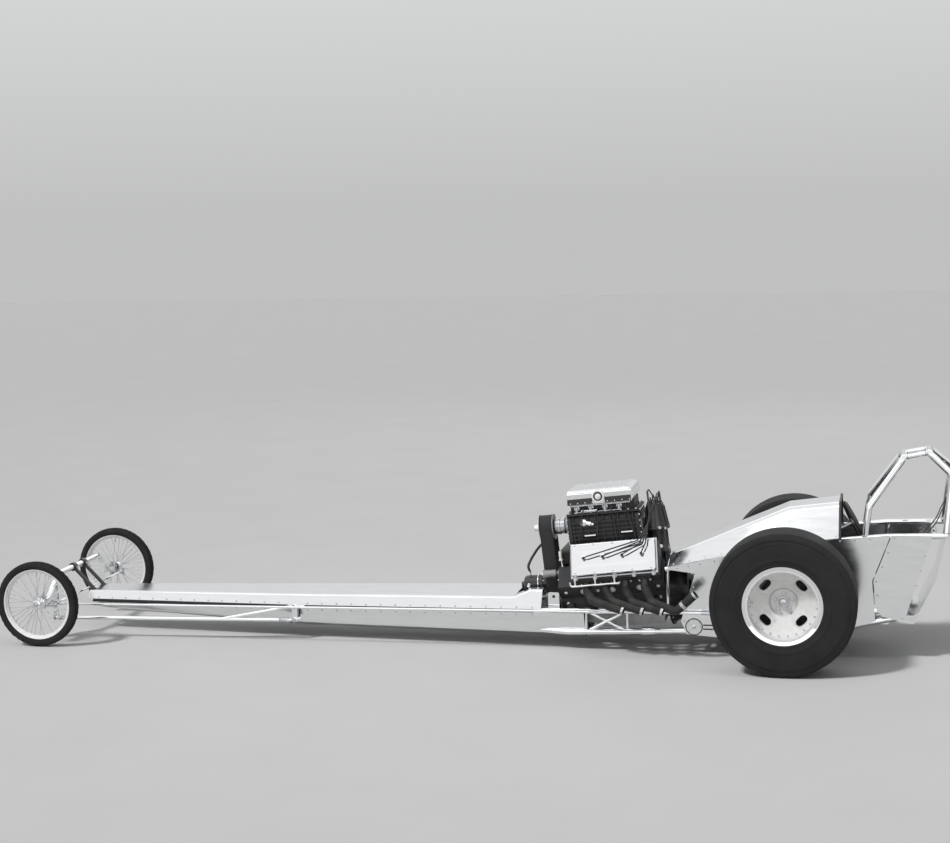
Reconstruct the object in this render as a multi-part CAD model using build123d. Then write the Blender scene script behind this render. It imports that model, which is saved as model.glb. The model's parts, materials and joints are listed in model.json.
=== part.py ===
from build123d import *
import os
from math import cos, hypot, radians, sin

# Driving sizes, in millimetres. X runs forward, Y to the left and Z up,
# and X is counted from the rear axle until the pieces are written.
WHEELBASE = 4600
REAR_TYRE_R = 410
REAR_TYRE_W = 270
REAR_TRACK = 1170
REAR_RIM_R = 203
REAR_LIP_R = 229
REAR_RIM_W = 236
FRONT_TYRE_R = 268
FRONT_TYRE_W = 62
FRONT_TRACK = 1150
FRONT_RIM_R = 212
FRONT_LIP_R = 222
FRONT_RIM_W = 46
REAR_OVERHANG = 1140

# General clearances and sheet
SEAT_GAP = 0.3
RUN_GAP = 0.5
SKIN = 3

# Chassis tubes
RAIL_R = 19
SHOULDER_R = 16
BRACE_R = 10
CROSS_R = 13
SPLIT_GAP = 20
FRAME_FRONT_X = WHEELBASE - 150
PANEL_FRONT_X = WHEELBASE - 130
BODY_HALF = 255
LIP_START_X = 1640
LIP_RISE = 40
PANEL_END_X = 1464

# Tie-down eyes at the rear ends of the rails
LUG_X = -700
LUG_Z = 246
LUG_T = 10
LUG_HOLE_R = 12

# Front axle and steering
AXLE_R = 19
AXLE_ARCH_Z = 400
AXLE_ARCH_HALF = 300
AXLE_END_Z = 280
AXLE_END_HALF = 425
KINGPIN_Y = 500
KINGPIN_R = 10
SLEEVE_R = 20
SLEEVE_H = 40
EAR_T = 11
EAR_GAP = 1
WEB_GAP = 3
WEB_T = 10
SPINDLE_R = 10
TIE_ARM = 80
LINK_ARM = 110
ARM_W = 18
BALL_R = 5
EYE_R = 12
EYE_H = 16
LINK_R = 8
LINK_RISE = 1.8
BATWING_Y = 340
BATWING_T = 8
ROD_R = 12
ROD_EYE_Z = 130
ROD_EYE_T = 14
ROD_FORK_SHARE = 0.3
ROD_BRACKET_X = 3035
ROD_BRACKET_Y = 225
ROD_BRACKET_Z = 215
PERCH_X = WHEELBASE - 200
PERCH_Y = 70
PERCH_R = 12
PERCH_GAP = 4

# Steering box and wheel
PITMAN_X = 430
PITMAN_Z = 385
PITMAN_ARM = 125
PITMAN_SHAFT_R = 12
LINK_REAR_Y = BODY_HALF + 30
BOX_W = 102
BOX_BACK = 50
WHEEL_HUB = (-375, 0, 770)
WHEEL_R = 120
COLUMN_R = 11

# Rear axle
HOUSING_TUBE_R = 38
HOUSING_END_Y = 425
DIFF_R = 150
SHAFT_R = 20
DRUM_R = 140
DRUM_W = 58
DRUM_GAP = 11
PINION_X = 190
PINION_Z = 380
COUPLER_R = 45
COUPLER_HOLE_R = 66

# Engine, in its own tilted frame: x from the block's front face, z from the crankshaft
ENGINE_X = 1345
ENGINE_Z = 254
ENGINE_TILT = 6
BLOCK_L = 640
PAN_RAIL_Z = -30
HEAD_X0 = -90
HEAD_L = 540
BORE_PITCH = 116
VALLEY_Z = 190
BLOWER_Z = 330
BLOWER_H = 215
BLOWER_HALF = 135
BLOWER_X0 = -85
BLOWER_L = 438
INJECTOR_H = 55
HAT_H = 85
HAT_HALF = 150
HAT_X0 = -95
HAT_L = 410
MANIFOLD_X0 = -20
PULLEY_X0 = 25
BELT_W = 80
BELT_T = 8
TOP_PULLEY_R = 66
IDLER_R = 26
IDLER_Z = 190
TOP_PULLEY_Z = 460
CRANK_PULLEY_R = 70
PIPE_R = 25
PIPE_WALL = 3
FLANGE_T = 8
COVER_H = 38
LEAD_R = 4
LEAD_RISE = 30
LINE_R = 6
PUMP_Z = 115
PUMP_L = 120
PUMP_R = 55
PUMP_NECK_R = 28
BOSS_R = 36
MAGNETO_X = 35 - BLOCK_L
MAGNETO_TOP = 545
BELL_L = 135
BELL_R = 190

# Cockpit
FIREWALL_X = ENGINE_X - BLOCK_L - BELL_L - 25
COWL_FRONT_X = FIREWALL_X + 150
COWL_REAR_X = -300
CAGE_R = 19
COVER_R = 46
SEAT_SIDE = 18
SEAT_T = 4
PAD_T = 42
PACK_FRONT_X = -950
PACK_LOW_Z = 722
PACK_HIGH_Z = 1090
PACK_HALF = 175

REAR_X = -(WHEELBASE + FRONT_TYRE_R - REAR_OVERHANG) / 2
REAR_Y = REAR_TRACK / 2
FRONT_Y = FRONT_TRACK / 2
RAIL_IN = BODY_HALF - SKIN - RAIL_R - SEAT_GAP
SEAT_HALF = RAIL_IN - RAIL_R - SEAT_SIDE

# Body sections. Columns: x, flat top half width and height, split line half
# width and height, lower corner half width and height, belly half width and height
NOSE = [
    (PANEL_FRONT_X, 105, 256, 140, 197, 118, 152, 70, 140),
    (3000, 165, 282, 195, 208, 165, 104, 130, 80),
    (1500, 200, 312, 245, 235, 215, 100, 170, 72),
]
# Cowl sections. Columns: x, shoulder height, flat top half width and height
COWL = [(COWL_FRONT_X, 528, 120, 572), (0, 680, 130, 870), (COWL_REAR_X, 718, 140, 907)]


def rod(a, b, r):
    """A round bar between two points."""
    a, b = Vector(*a), Vector(*b)
    return extrude(Plane(origin=a, z_dir=b - a) * Circle(r), (b - a).length)


def pipe(points, r, bend):
    """A round bar bent along straight runs joined by arcs."""
    path = FilletPolyline(*points, radius=bend)
    return sweep(Plane(origin=path @ 0, z_dir=path % 0) * Circle(r), path=path)


def slab(points, y0, y1):
    """A flat plate from y0 to y1, with its outline given in X and Z."""
    face = make_face(Polyline(*[(x, y0, z) for x, z in points], close=True))
    return extrude(face, y1 - y0, dir=(0, 1, 0))


def wall(points, x0, x1):
    """A plate or bar from x0 to x1, with its outline given in Y and Z."""
    face = make_face(Polyline(*[(x0, y, z) for y, z in points], close=True))
    return extrude(face, x1 - x0, dir=(1, 0, 0))


def block(x, y, z):
    """A box between two values on each axis."""
    size = (x[1] - x[0], y[1] - y[0], z[1] - z[0])
    return Pos((x[0] + x[1]) / 2, (y[0] + y[1]) / 2, (z[0] + z[1]) / 2) * Box(*size)


def ring_about_y(profile, y_mid):
    """A body of revolution about the Y axis, from an outline in radius and Y."""
    face = make_face(Polyline(*[(r, y_mid + y, 0) for r, y in profile], close=True))
    return revolve(face, Axis.Y, 360)


def flip(part):
    """The same piece on the car's other side."""
    return mirror(part, about=Plane.XZ)


def group(parts):
    """Separate solids that share one sub-part."""
    return Compound([solid for part in parts for solid in part.solids()])


def inset(chain, t):
    """An open chain of points moved sideways by t, to the right of its direction."""
    normals = []
    for (a, b), (c, d) in zip(chain, chain[1:]):
        run = hypot(c - a, d - b)
        normals.append(((d - b) / run, (a - c) / run))
    moved = []
    for i, (a, b) in enumerate(chain):
        m, n = normals[max(i - 1, 0)], normals[min(i, len(normals) - 1)]
        share = t / (1 + m[0] * n[0] + m[1] * n[1])
        moved.append((a + (m[0] + n[0]) * share, b + (m[1] + n[1]) * share))
    return moved


def skin_face(x, chain, bend):
    """The cut through a sheet panel at x, with its corners rolled round."""
    outer = FilletPolyline(*[(x, y, z) for y, z in chain], radius=bend)
    inner = FilletPolyline(*[(x, y, z) for y, z in inset(chain, SKIN)], radius=bend - SKIN)
    ends = [Line(outer @ 0, inner @ 0), Line(outer @ 1, inner @ 1)]
    return make_face([*outer.edges(), *inner.edges(), *ends])


def between(table, x):
    """One row of a section table, worked out at any x."""
    for low, high in zip(table[1:], table):
        if x >= low[0] or low is table[-1]:
            share = (x - low[0]) / (high[0] - low[0])
            return [a + (b - a) * share for a, b in zip(low, high)]


def upper_chain(x):
    """The top panel's outline at x, from the right split line to the left one."""
    _, top_y, top_z, split_y, split_z, *_ = between(NOSE, x)
    share = SPLIT_GAP / 2 / (top_z - split_z)
    edge = (split_y + (top_y - split_y) * share, split_z + SPLIT_GAP / 2)
    right = [(-edge[0], edge[1]), (-top_y, top_z)]
    return right + [(-y, z) for y, z in reversed(right)]


def lower_chain(x):
    """The belly pan's outline at x, from the left split line to the right one."""
    _, _, _, split_y, split_z, low_y, low_z, belly_y, belly_z = between(NOSE, x)
    share = SPLIT_GAP / 2 / (split_z - low_z)
    edge = (split_y + (low_y - split_y) * share, split_z - SPLIT_GAP / 2)
    left = [edge, (low_y, low_z), (belly_y, belly_z)]
    return left + [(-y, z) for y, z in reversed(left)]


def corner_tube(before, corner, after, r):
    """The middle of a tube that lies inside a corner of the sheet."""
    return inset([before, corner, after], SKIN + SEAT_GAP + r)[1]


def upper_rail_at(x):
    _, top_y, top_z, split_y, split_z, low_y, low_z, *_ = between(NOSE, x)
    y, z = corner_tube((top_y, top_z), (split_y, split_z), (low_y, low_z), RAIL_R)
    return (x, y, z)


def lower_rail_at(x):
    _, _, _, split_y, split_z, low_y, low_z, belly_y, belly_z = between(NOSE, x)
    y, z = corner_tube((split_y, split_z), (low_y, low_z), (belly_y, belly_z), RAIL_R)
    return (x, y, z)


# The rails behind the nose. Columns: x, height
UPPER_REAR = [(1100, 246), (600, 257), (-200, 268), (-640, 300)]
LOWER_REAR = [(1300, 112), (865, 128), (300, 150), (-300, 185), (-620, 255)]
SHOULDER = [(COWL_FRONT_X + 15, 509), (0, 672), (-560, 728), (-900, 738)]
# Braces between lower and upper rails, by x
UPRIGHTS = [PERCH_X, 3950, 3500, ROD_BRACKET_X, 2600, 2150, 1700, 1190, 940, 560, 110, -330]
CROSS_BRACE = (1190, 940)
LUG_RISE = 96
# The joining sleeve of each lower rail, by x
SLEEVE_SPAN = (775, 852)
# Braces between the upper and shoulder rails, by x
POSTS = [COWL_FRONT_X, 390, -90, -560]
# Tubes across the car. Columns: x, which rails
CROSSINGS = [(PERCH_X, "upper"), (3500, "upper"), (3500, "lower"), (ROD_BRACKET_X, "lower"),
             (2600, "upper"), (2600, "lower"), (1700, "upper"), (1700, "lower"), (560, "lower"),
             (110, "lower"), (-330, "lower"), (-830, "shoulder")]


def height_on(line, x):
    """The height of a rail, from its table of x and height."""
    for (x1, z1), (x0, z0) in zip(line, line[1:]):
        if x >= x0 or x0 == line[-1][0]:
            return z0 + (z1 - z0) * (x - x0) / (x1 - x0)


def upper_rail_points():
    front = [upper_rail_at(x) for x in (FRAME_FRONT_X, 3000, 1500)]
    return front + [(x, RAIL_IN, z) for x, z in UPPER_REAR]


def lower_rail_points():
    front = [lower_rail_at(x) for x in (FRAME_FRONT_X - 60, 3000, 1500)]
    return front + [(x, RAIL_IN, z) for x, z in LOWER_REAR]


def shoulder_points():
    return [(x, RAIL_IN + RAIL_R - SHOULDER_R, z) for x, z in SHOULDER]


def on_path(points, x):
    """The point of a rail's centre line at x."""
    for a, b in zip(points, points[1:]):
        if x >= b[0] or b is points[-1]:
            share = (x - a[0]) / (b[0] - a[0])
            return tuple(p + (q - p) * share for p, q in zip(a, b))


def side_frame():
    """The left half of the welded chassis: rails, uprights, brackets and posts."""
    upper, lower = upper_rail_points(), lower_rail_points()
    shoulder = shoulder_points()
    parts = [pipe(upper, RAIL_R, 60), pipe(lower, RAIL_R, 60), pipe(shoulder, SHOULDER_R, 60)]
    parts += [rod(on_path(lower, x), on_path(upper, x), BRACE_R) for x in UPRIGHTS]
    front, rear = CROSS_BRACE
    parts.append(rod(on_path(lower, front), on_path(upper, rear), BRACE_R))
    parts.append(rod(on_path(upper, front), on_path(lower, rear), BRACE_R))
    parts += [rod(on_path(upper, x), on_path(shoulder, x), BRACE_R) for x in POSTS]
    parts.append(rod(lower[-1], upper[-1], BRACE_R))
    parts.append(radius_rod_bracket())
    parts.append(axle_plate())
    parts.append(tie_down_lug())
    parts.append(engine_lug())
    sleeve = [on_path(lower, x) for x in SLEEVE_SPAN]
    parts.append(rod(*sleeve, RAIL_R + 6))
    frame = parts[0]
    for extra in parts[1:]:
        frame += extra
    return frame


def radius_rod_bracket():
    """The gusset that stands out of the body for the radius rod's two ends."""
    x = ROD_BRACKET_X
    _, y_up, z_up = upper_rail_at(x)
    _, y_low, z_low = lower_rail_at(x)
    high, low = ROD_BRACKET_Z + 13, ROD_EYE_Z - 12
    outline = [(y_up, z_up), (ROD_BRACKET_Y, high), (ROD_BRACKET_Y, low), (y_low, z_low)]
    gusset = wall(outline, x - 4, x + 4)
    return gusset + block((x - 17, x + 17), (ROD_BRACKET_Y - 8, ROD_BRACKET_Y), (low, high))


def engine_lug():
    """The upright lug on the upper rail beside the front of the engine."""
    x, y, z = on_path(upper_rail_points(), ENGINE_X + 40)
    lug = block((x - 34, x + 34), (y - 9, y + 9), (z, z + RAIL_R + LUG_RISE))
    lug = fillet(lug.edges().filter_by(Axis.Y), 12)
    hole_z = z + RAIL_R + LUG_RISE - 26
    return lug - rod((x, y - 20, hole_z), (x, y + 20, hole_z), 9)


def axle_plate():
    """The plate that holds the rear axle housing between the rails."""
    low, high = height_on(UPPER_REAR, 0), height_on(SHOULDER, 0)
    outline = [(-90, low), (90, low), (60, high), (-60, high)]
    plate = slab(outline, RAIL_IN - 5, RAIL_IN + 5)
    hole = rod((0, 0, REAR_TYRE_R), (0, BODY_HALF, REAR_TYRE_R), HOUSING_TUBE_R + SEAT_GAP)
    return plate - hole


def tie_down_lug():
    """The eye at the rail's rear end, for tying the car down or towing it."""
    outline = [(-600, 236), (-600, 262), (LUG_X - 6, LUG_Z + 24), (LUG_X - 26, LUG_Z + 10),
               (LUG_X - 26, LUG_Z - 14), (LUG_X - 10, LUG_Z - 26)]
    plate = slab(outline, RAIL_IN - LUG_T / 2, RAIL_IN + LUG_T / 2)
    return plate - rod((LUG_X, 0, LUG_Z), (LUG_X, BODY_HALF, LUG_Z), LUG_HOLE_R)


def crossmembers():
    """The tubes that run across between the two side frames."""
    rails = {"upper": (upper_rail_points(), RAIL_R), "lower": (lower_rail_points(), RAIL_R),
             "shoulder": (shoulder_points(), SHOULDER_R)}
    tubes = []
    for x, name in CROSSINGS:
        line, r = rails[name]
        _, y, z = on_path(line, x)
        reach = y - r - 2 * SEAT_GAP
        tubes.append(rod((x, -reach, z), (x, reach, z), CROSS_R))
    return group(tubes)


def nose_top_panel():
    """The long upper body panel, flared at its rear end around the fuel pump."""
    chains = [(x, upper_chain(x)) for x in (PANEL_FRONT_X, 3000, LIP_START_X)]
    for x in (LIP_START_X - 100, PANEL_END_X):
        right, top, *_ = upper_chain(x)
        slope = (top[0] - right[0]) / (top[1] - right[1])
        lip = (top[0] + LIP_RISE * slope, top[1] + LIP_RISE)
        chains.append((x, [right, lip, (-lip[0], lip[1]), (-right[0], right[1])]))
    panel = loft([skin_face(x, chain, 18) for x, chain in chains], ruled=True)
    room = PERCH_R + PERCH_GAP
    for y in (PERCH_Y, -PERCH_Y):
        panel -= block((PANEL_FRONT_X - 34, PANEL_FRONT_X + 10), (y - room, y + room), (220, 300))
    return panel - block((PANEL_END_X - 10, LIP_START_X), (-105, 105), (250, 400))


def belly_pan():
    """The lower body panel under the nose."""
    chains = [(x, lower_chain(x)) for x in (PERCH_X, 3000, 1500, 1200)]
    pan = loft([skin_face(x, chain, 16) for x, chain in chains], ruled=True)
    for side in (1, -1):
        pan -= Pos(ROD_BRACKET_X, side * 190, 180) * Box(40, 120, 140)
    return pan


def front_axle():
    """The arched tube axle with its kingpin sleeves and radius rod brackets."""
    half = [(WHEELBASE, AXLE_ARCH_HALF, AXLE_ARCH_Z), (WHEELBASE, AXLE_END_HALF, AXLE_END_Z),
            (WHEELBASE, KINGPIN_Y, FRONT_TYRE_R)]
    points = [(x, -y, z) for x, y, z in reversed(half)] + half
    axle = pipe(points, AXLE_R, 70)
    for side in (1, -1):
        low, high = FRONT_TYRE_R - SLEEVE_H / 2, FRONT_TYRE_R + SLEEVE_H / 2
        y = side * KINGPIN_Y
        axle -= rod((WHEELBASE, y, low - 30), (WHEELBASE, y, low), 40)
        axle -= rod((WHEELBASE, y, high), (WHEELBASE, y, high + 30), 40)
        axle += rod((WHEELBASE, y, low), (WHEELBASE, y, high), SLEEVE_R)
        axle -= rod((WHEELBASE, y, low), (WHEELBASE, y, high), KINGPIN_R + RUN_GAP)
        outline = [(WHEELBASE - 26, 372), (WHEELBASE + 26, 372), (WHEELBASE + 14, ROD_EYE_Z - 14),
                   (WHEELBASE - 14, ROD_EYE_Z - 14)]
        middle = side * BATWING_Y
        axle += slab(outline, middle - BATWING_T / 2, middle + BATWING_T / 2)
    return axle


def perch_line(side):
    """The two ends of a perch post: on the frame's cross tube and on the axle."""
    y = side * PERCH_Y
    return (PERCH_X, y, on_path(upper_rail_points(), PERCH_X)[2]), (WHEELBASE, y, AXLE_ARCH_Z)


def axle_perch():
    """The pair of posts that carry the axle on the front of the frame."""
    posts = []
    for side in (1, -1):
        ends = perch_line(side)
        post = rod(*ends, PERCH_R)
        for (x, y, z), r, wall_t in zip(ends, (CROSS_R, AXLE_R), (8, 8)):
            post += rod((x, y - 15, z), (x, y + 15, z), r + wall_t)
        for (x, y, z), r in zip(ends, (CROSS_R, AXLE_R)):
            post -= rod((x, y - 40, z), (x, y + 40, z), r + SEAT_GAP)
        posts.append(post)
    return group(posts)


def radius_rods():
    """The forked rods that run from the frame bracket to the axle."""
    rods = []
    outer = BATWING_Y + BATWING_T / 2 + SEAT_GAP
    inner = ROD_BRACKET_Y + SEAT_GAP
    for side in (1, -1):
        front = (WHEELBASE, side * (outer + ROD_EYE_T / 2), ROD_EYE_Z)
        ends = [(ROD_BRACKET_X, side * (inner + ROD_EYE_T / 2), z) for z in (ROD_EYE_Z, ROD_BRACKET_Z)]
        rear, high = [(x + 22, y, z) for x, y, z in ends]
        join = tuple(a + (b - a) * ROD_FORK_SHARE for a, b in zip(rear, front))
        one = rod(rear, front, ROD_R) + rod(high, join, ROD_R - 2)
        one += rod((WHEELBASE, side * outer, ROD_EYE_Z),
                   (WHEELBASE, side * (outer + ROD_EYE_T), ROD_EYE_Z), 15)
        for x, y, z in ends:
            one += rod((x, side * inner, z), (x, side * (inner + ROD_EYE_T), z), 14)
            one += rod((x, y, z), (x + 22, y, z), 6)
        inside = sorted((side * (outer - 40), side * outer))
        one -= block((WHEELBASE - 60, WHEELBASE + 60), inside, (ROD_EYE_Z - 40, ROD_EYE_Z + 50))
        rods.append(one)
    return group(rods)


def knuckle(link_arm):
    """The left steering knuckle: yoke, kingpin, spindle and steering arms."""
    x, y, z = WHEELBASE, KINGPIN_Y, FRONT_TYRE_R
    low = z - SLEEVE_H / 2 - EAR_GAP
    high = z + SLEEVE_H / 2 + EAR_GAP
    web = y + SLEEVE_R + WEB_GAP
    body = block((x - 18, x + 18), (web, web + WEB_T), (low - EAR_T, high + EAR_T))
    for bottom in (low - EAR_T, high):
        body += rod((x, y, bottom), (x, y, bottom + EAR_T), 18)
        body += block((x - 18, x + 18), (y, web + WEB_T), (bottom, bottom + EAR_T))
    body += rod((x, y, low - EAR_T), (x, y, high + EAR_T), KINGPIN_R)
    body += rod((x, web + WEB_T, z), (x, FRONT_Y + FRONT_RIM_W / 2 + 4, z), SPINDLE_R)
    arm_low, arm_high = low - EAR_T, low - 1
    body += block((x - TIE_ARM - 8, x), (y - ARM_W / 2, y + ARM_W / 2), (arm_low, arm_high))
    body += rod((x - TIE_ARM, y, arm_high), (x - TIE_ARM, y, arm_high + EYE_H + 3), BALL_R)
    if link_arm:
        body += block((x - ARM_W / 2, x + ARM_W / 2), (y - LINK_ARM - 8, y), (arm_low, arm_high))
        body += rod((x, y - LINK_ARM, arm_low - EYE_H - 3), (x, y - LINK_ARM, arm_low), BALL_R)
    return body


ARM_LOW = FRONT_TYRE_R - SLEEVE_H / 2 - EAR_GAP - EAR_T
ARM_HIGH = ARM_LOW + EAR_T - 1
TIE_Z = ARM_HIGH + 1 + EYE_H / 2
LINK_FRONT_Z = ARM_LOW - 1 - EYE_H / 2


def tie_rod():
    """The rod that joins the two knuckles' rear arms."""
    x = WHEELBASE - TIE_ARM
    bar = rod((x, -KINGPIN_Y, TIE_Z), (x, KINGPIN_Y, TIE_Z), LINK_R - 1)
    for side in (1, -1):
        y = side * KINGPIN_Y
        bar += rod((x, y, TIE_Z - EYE_H / 2), (x, y, TIE_Z + EYE_H / 2), EYE_R)
        bar -= rod((x, y, TIE_Z - 20), (x, y, TIE_Z + 20), BALL_R + RUN_GAP)
    return bar


LINK_FRONT = (WHEELBASE, KINGPIN_Y - LINK_ARM, LINK_FRONT_Z)
LINK_REAR = (PITMAN_X, LINK_REAR_Y, PITMAN_Z - PITMAN_ARM)


def drag_link():
    """The long rod from the pitman arm to the left knuckle."""
    link = rod(LINK_REAR, LINK_FRONT, LINK_R - 1)
    x, y, z = LINK_FRONT
    link += rod((x, y, z - EYE_H / 2), (x, y, z + EYE_H / 2), EYE_R)
    link -= rod((x, y, z - 20), (x, y, z + 20), BALL_R + RUN_GAP)
    x, y, z = LINK_REAR
    link += rod((x, y - EYE_H / 2, z), (x, y + EYE_H / 2, z), EYE_R)
    link -= rod((x, y - 20, z + LINK_RISE), (x, y + 20, z + LINK_RISE), BALL_R + RUN_GAP + LINK_RISE)
    return link


def pitman_arm():
    """The steering box's output shaft and the arm on its end."""
    y = LINK_REAR_Y - EYE_H / 2 - 1
    arm_y = y - 8
    arm = slab([(PITMAN_X - 14, PITMAN_Z + 12), (PITMAN_X + 14, PITMAN_Z + 12),
                (PITMAN_X + 9, LINK_REAR[2] - 9), (PITMAN_X - 9, LINK_REAR[2] - 9)], arm_y, y)
    inner = RAIL_IN - BRACE_R - 62
    arm += rod((PITMAN_X, inner, PITMAN_Z), (PITMAN_X, arm_y, PITMAN_Z), PITMAN_SHAFT_R)
    return arm + rod((PITMAN_X, y, LINK_REAR[2]), (PITMAN_X, y + EYE_H + 3, LINK_REAR[2]), BALL_R)


def steering_box():
    """The gear box on the frame post, bored for the pitman shaft and the column."""
    outer = RAIL_IN - BRACE_R - SEAT_GAP
    box = block((PITMAN_X - BOX_BACK, PITMAN_X + 35), (outer - BOX_W, outer),
                (PITMAN_Z - 40, PITMAN_Z + 45))
    box = fillet(box.edges().filter_by(Axis.Y), 12)
    box -= rod((PITMAN_X, outer - 68, PITMAN_Z), (PITMAN_X, outer + 10, PITMAN_Z),
               PITMAN_SHAFT_R + RUN_GAP)
    return box


COLUMN_END = (PITMAN_X - BOX_BACK - 5.6, RAIL_IN - BRACE_R - 72, PITMAN_Z + 20)


def steering_wheel():
    """The small steering wheel and its column."""
    hub, end = Vector(*WHEEL_HUB), Vector(*COLUMN_END)
    plane = Plane(origin=hub, z_dir=hub - end)
    rim = plane * Torus(WHEEL_R, 11)
    wheel = rim + plane * Cylinder(26, 24)
    for i in range(3):
        turn = Rot(0, 0, 90 + 120 * i)
        wheel += plane * turn * Pos(WHEEL_R / 2, 0, 0) * Box(WHEEL_R - 8, 20, 4)
    return wheel + rod(COLUMN_END, WHEEL_HUB, COLUMN_R)


def rear_axle_housing():
    """The rear axle: centre section with pinion snout, tubes and bearing ends."""
    z = REAR_TYRE_R
    body = Pos(0, 0, z) * Sphere(DIFF_R) & block((-130, 115), (-95, 95), (z - DIFF_R, z + DIFF_R))
    rear, along = coupler_line()
    body += rod(tuple(rear - along * 110), tuple(rear), 62)
    body += rod((0, -HOUSING_END_Y, z), (0, HOUSING_END_Y, z), HOUSING_TUBE_R)
    for side in (1, -1):
        end = side * HOUSING_END_Y
        body += rod((0, end - side * 14, z), (0, end, z), 62)
        body += rod((0, end - side * 5, z), (0, end, z), DRUM_R - 3)
        body -= rod((0, side * 330, z), (0, end + side, z), SHAFT_R + RUN_GAP)
    return body


def coupler_line():
    """The pinion flange's middle, and the direction from it to the crankshaft's end."""
    rear = Vector(PINION_X, 0, PINION_Z)
    return rear, (Vector(*engine_point(-BLOCK_L - BELL_L, 0, 0)) - rear).normalized()


def coupler_tube():
    """The short drive tube between the clutch and the rear axle's pinion."""
    rear, along = coupler_line()
    front = Vector(*engine_point(-BLOCK_L - BELL_L, 0, 0))
    a, b = rear + along * SEAT_GAP, front - along * 6
    tube = rod(tuple(a), tuple(b), COUPLER_R)
    tube += rod(tuple(a), tuple(a + along * 24), 66)
    return tube + rod(tuple(b - along * 24), tuple(b), 60)


def engine_point(x, y, z):
    """A point of the engine's tilted frame, in the car's frame."""
    turn = radians(ENGINE_TILT)
    return (ENGINE_X + x * cos(turn) + z * sin(turn), y, ENGINE_Z - x * sin(turn) + z * cos(turn))


def seat_engine(part):
    """Puts a piece from the engine's tilted frame in its place on the car."""
    return Pos(ENGINE_X, 0, ENGINE_Z) * Rot(0, ENGINE_TILT, 0) * part


# Cylinder head corners in the engine's y and z
DECK_LOW, DECK_HIGH = (230, 124), (124, 230)
COVER_LOW, COVER_HIGH = (280, 190), (192, 362)
HEAD_OUT, HEAD_IN = (288, 168), (150, 330)


def engine_block():
    """The V8 block with its deck faces and the two mounting ears."""
    half = [(170, PAN_RAIL_Z), (175, 45), DECK_LOW, DECK_HIGH, (70, VALLEY_Z)]
    outline = half + [(-y, z) for y, z in reversed(half)]
    body = wall(outline, -BLOCK_L, 0)
    for x in (-60, -BLOCK_L + 60):
        rail = on_path(upper_rail_points(), engine_point(x + 18, 0, 0)[0])
        reach = rail[1] - RAIL_R - SEAT_GAP
        body += block((x - 18, x + 18), (-reach, reach), (-22, 14))
    return seat_engine(body)


def oil_pan():
    """The deep sump bolted under the block."""
    top = PAN_RAIL_Z - SEAT_GAP
    rear = 15 - BLOCK_L
    outline = [(-15, top), (rear, top), (rear, top - 8), (rear + 25, -160), (-250, -160),
               (-130, -112), (-40, -112), (-15, top - 8)]
    return seat_engine(slab(outline, -125, 125))


def bell_housing():
    """The clutch housing behind the block."""
    a = -BLOCK_L - SEAT_GAP
    cone = Plane(origin=(a, 0, 0), z_dir=(-1, 0, 0)) * Circle(BELL_R)
    end = Plane(origin=(a - BELL_L + 14, 0, 0), z_dir=(-1, 0, 0)) * Circle(BELL_R - 55)
    body = loft([cone, end])
    body -= rod((a - BELL_L - 20, 0, 0), (a - BELL_L + 50, 0, 0), 68)
    return seat_engine(body)


def cylinder_heads():
    """The two cylinder heads."""
    slide = SEAT_GAP / 2 ** 0.5
    outline = [(DECK_HIGH[0] + slide, DECK_HIGH[1] + slide),
               (DECK_LOW[0] + slide, DECK_LOW[1] + slide), HEAD_OUT, COVER_LOW, COVER_HIGH, HEAD_IN]
    head = wall(outline, HEAD_X0 - HEAD_L, HEAD_X0)
    return group([seat_engine(head), seat_engine(flip(head))])


def cover_frame():
    """The middle of the left head's cover face, and the directions up it and out of it."""
    dy, dz = COVER_HIGH[0] - COVER_LOW[0], COVER_HIGH[1] - COVER_LOW[1]
    run = hypot(dy, dz)
    y, z = (COVER_LOW[0] + COVER_HIGH[0]) / 2, (COVER_LOW[1] + COVER_HIGH[1]) / 2
    middle = Vector(HEAD_X0 - HEAD_L / 2, y, z)
    return middle, Vector(0, dy / run, dz / run), Vector(0, dz / run, -dy / run), run


def valve_covers():
    """The wide valve covers on the outer faces of the heads."""
    middle, _, out, run = cover_frame()
    centre = middle + out * SEAT_GAP
    plane = Plane(origin=centre, x_dir=(1, 0, 0), z_dir=out)
    cover = extrude(plane * RectangleRounded(HEAD_L - 24, run + 14, 16), COVER_H, taper=10)
    cover = fillet(cover.faces().sort_by(Axis(centre, out))[-1].edges(), 9)
    return group([seat_engine(cover), seat_engine(flip(cover))])


# The magneto's towers for the left leads. Columns: x and y from its middle
TOWERS = [(-14, 36), (14, 36), (-36, 13), (36, 13)]


def plug_leads():
    """The eight ignition leads, from the magneto's cap to the plugs in the covers."""
    middle, up, out, _ = cover_frame()
    leads = []
    for i, (x, y) in enumerate(TOWERS):
        tower = Vector(MAGNETO_X + x, y, MAGNETO_TOP + SEAT_GAP)
        lift = tower + Vector(0, 0, 60 + 14 * i)
        over = Vector(MAGNETO_X + 10, 150 + 8 * i, MAGNETO_TOP - 60 + 14 * i)
        corner = Vector(-HEAD_L / 2 + 110 - 15 * i, 0, 0) + up * (78 - 6 * i)
        edge = middle + corner + out * (COVER_H + LEAD_RISE + 4)
        plug = middle + Vector((1.5 - i) * BORE_PITCH, 0, 0) + out * (COVER_H + 2 * SEAT_GAP)
        lead = pipe([tuple(p) for p in (tower, lift, over, edge, plug + out * LEAD_RISE, plug)],
                    LEAD_R, 20)
        lead += rod(tuple(plug), tuple(plug + out * 24), 2 * LEAD_R)
        lead += rod(tuple(tower), tuple(tower + Vector(0, 0, 16)), 2 * LEAD_R)
        leads += [seat_engine(lead), seat_engine(flip(lead))]
    return group(leads)


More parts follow.
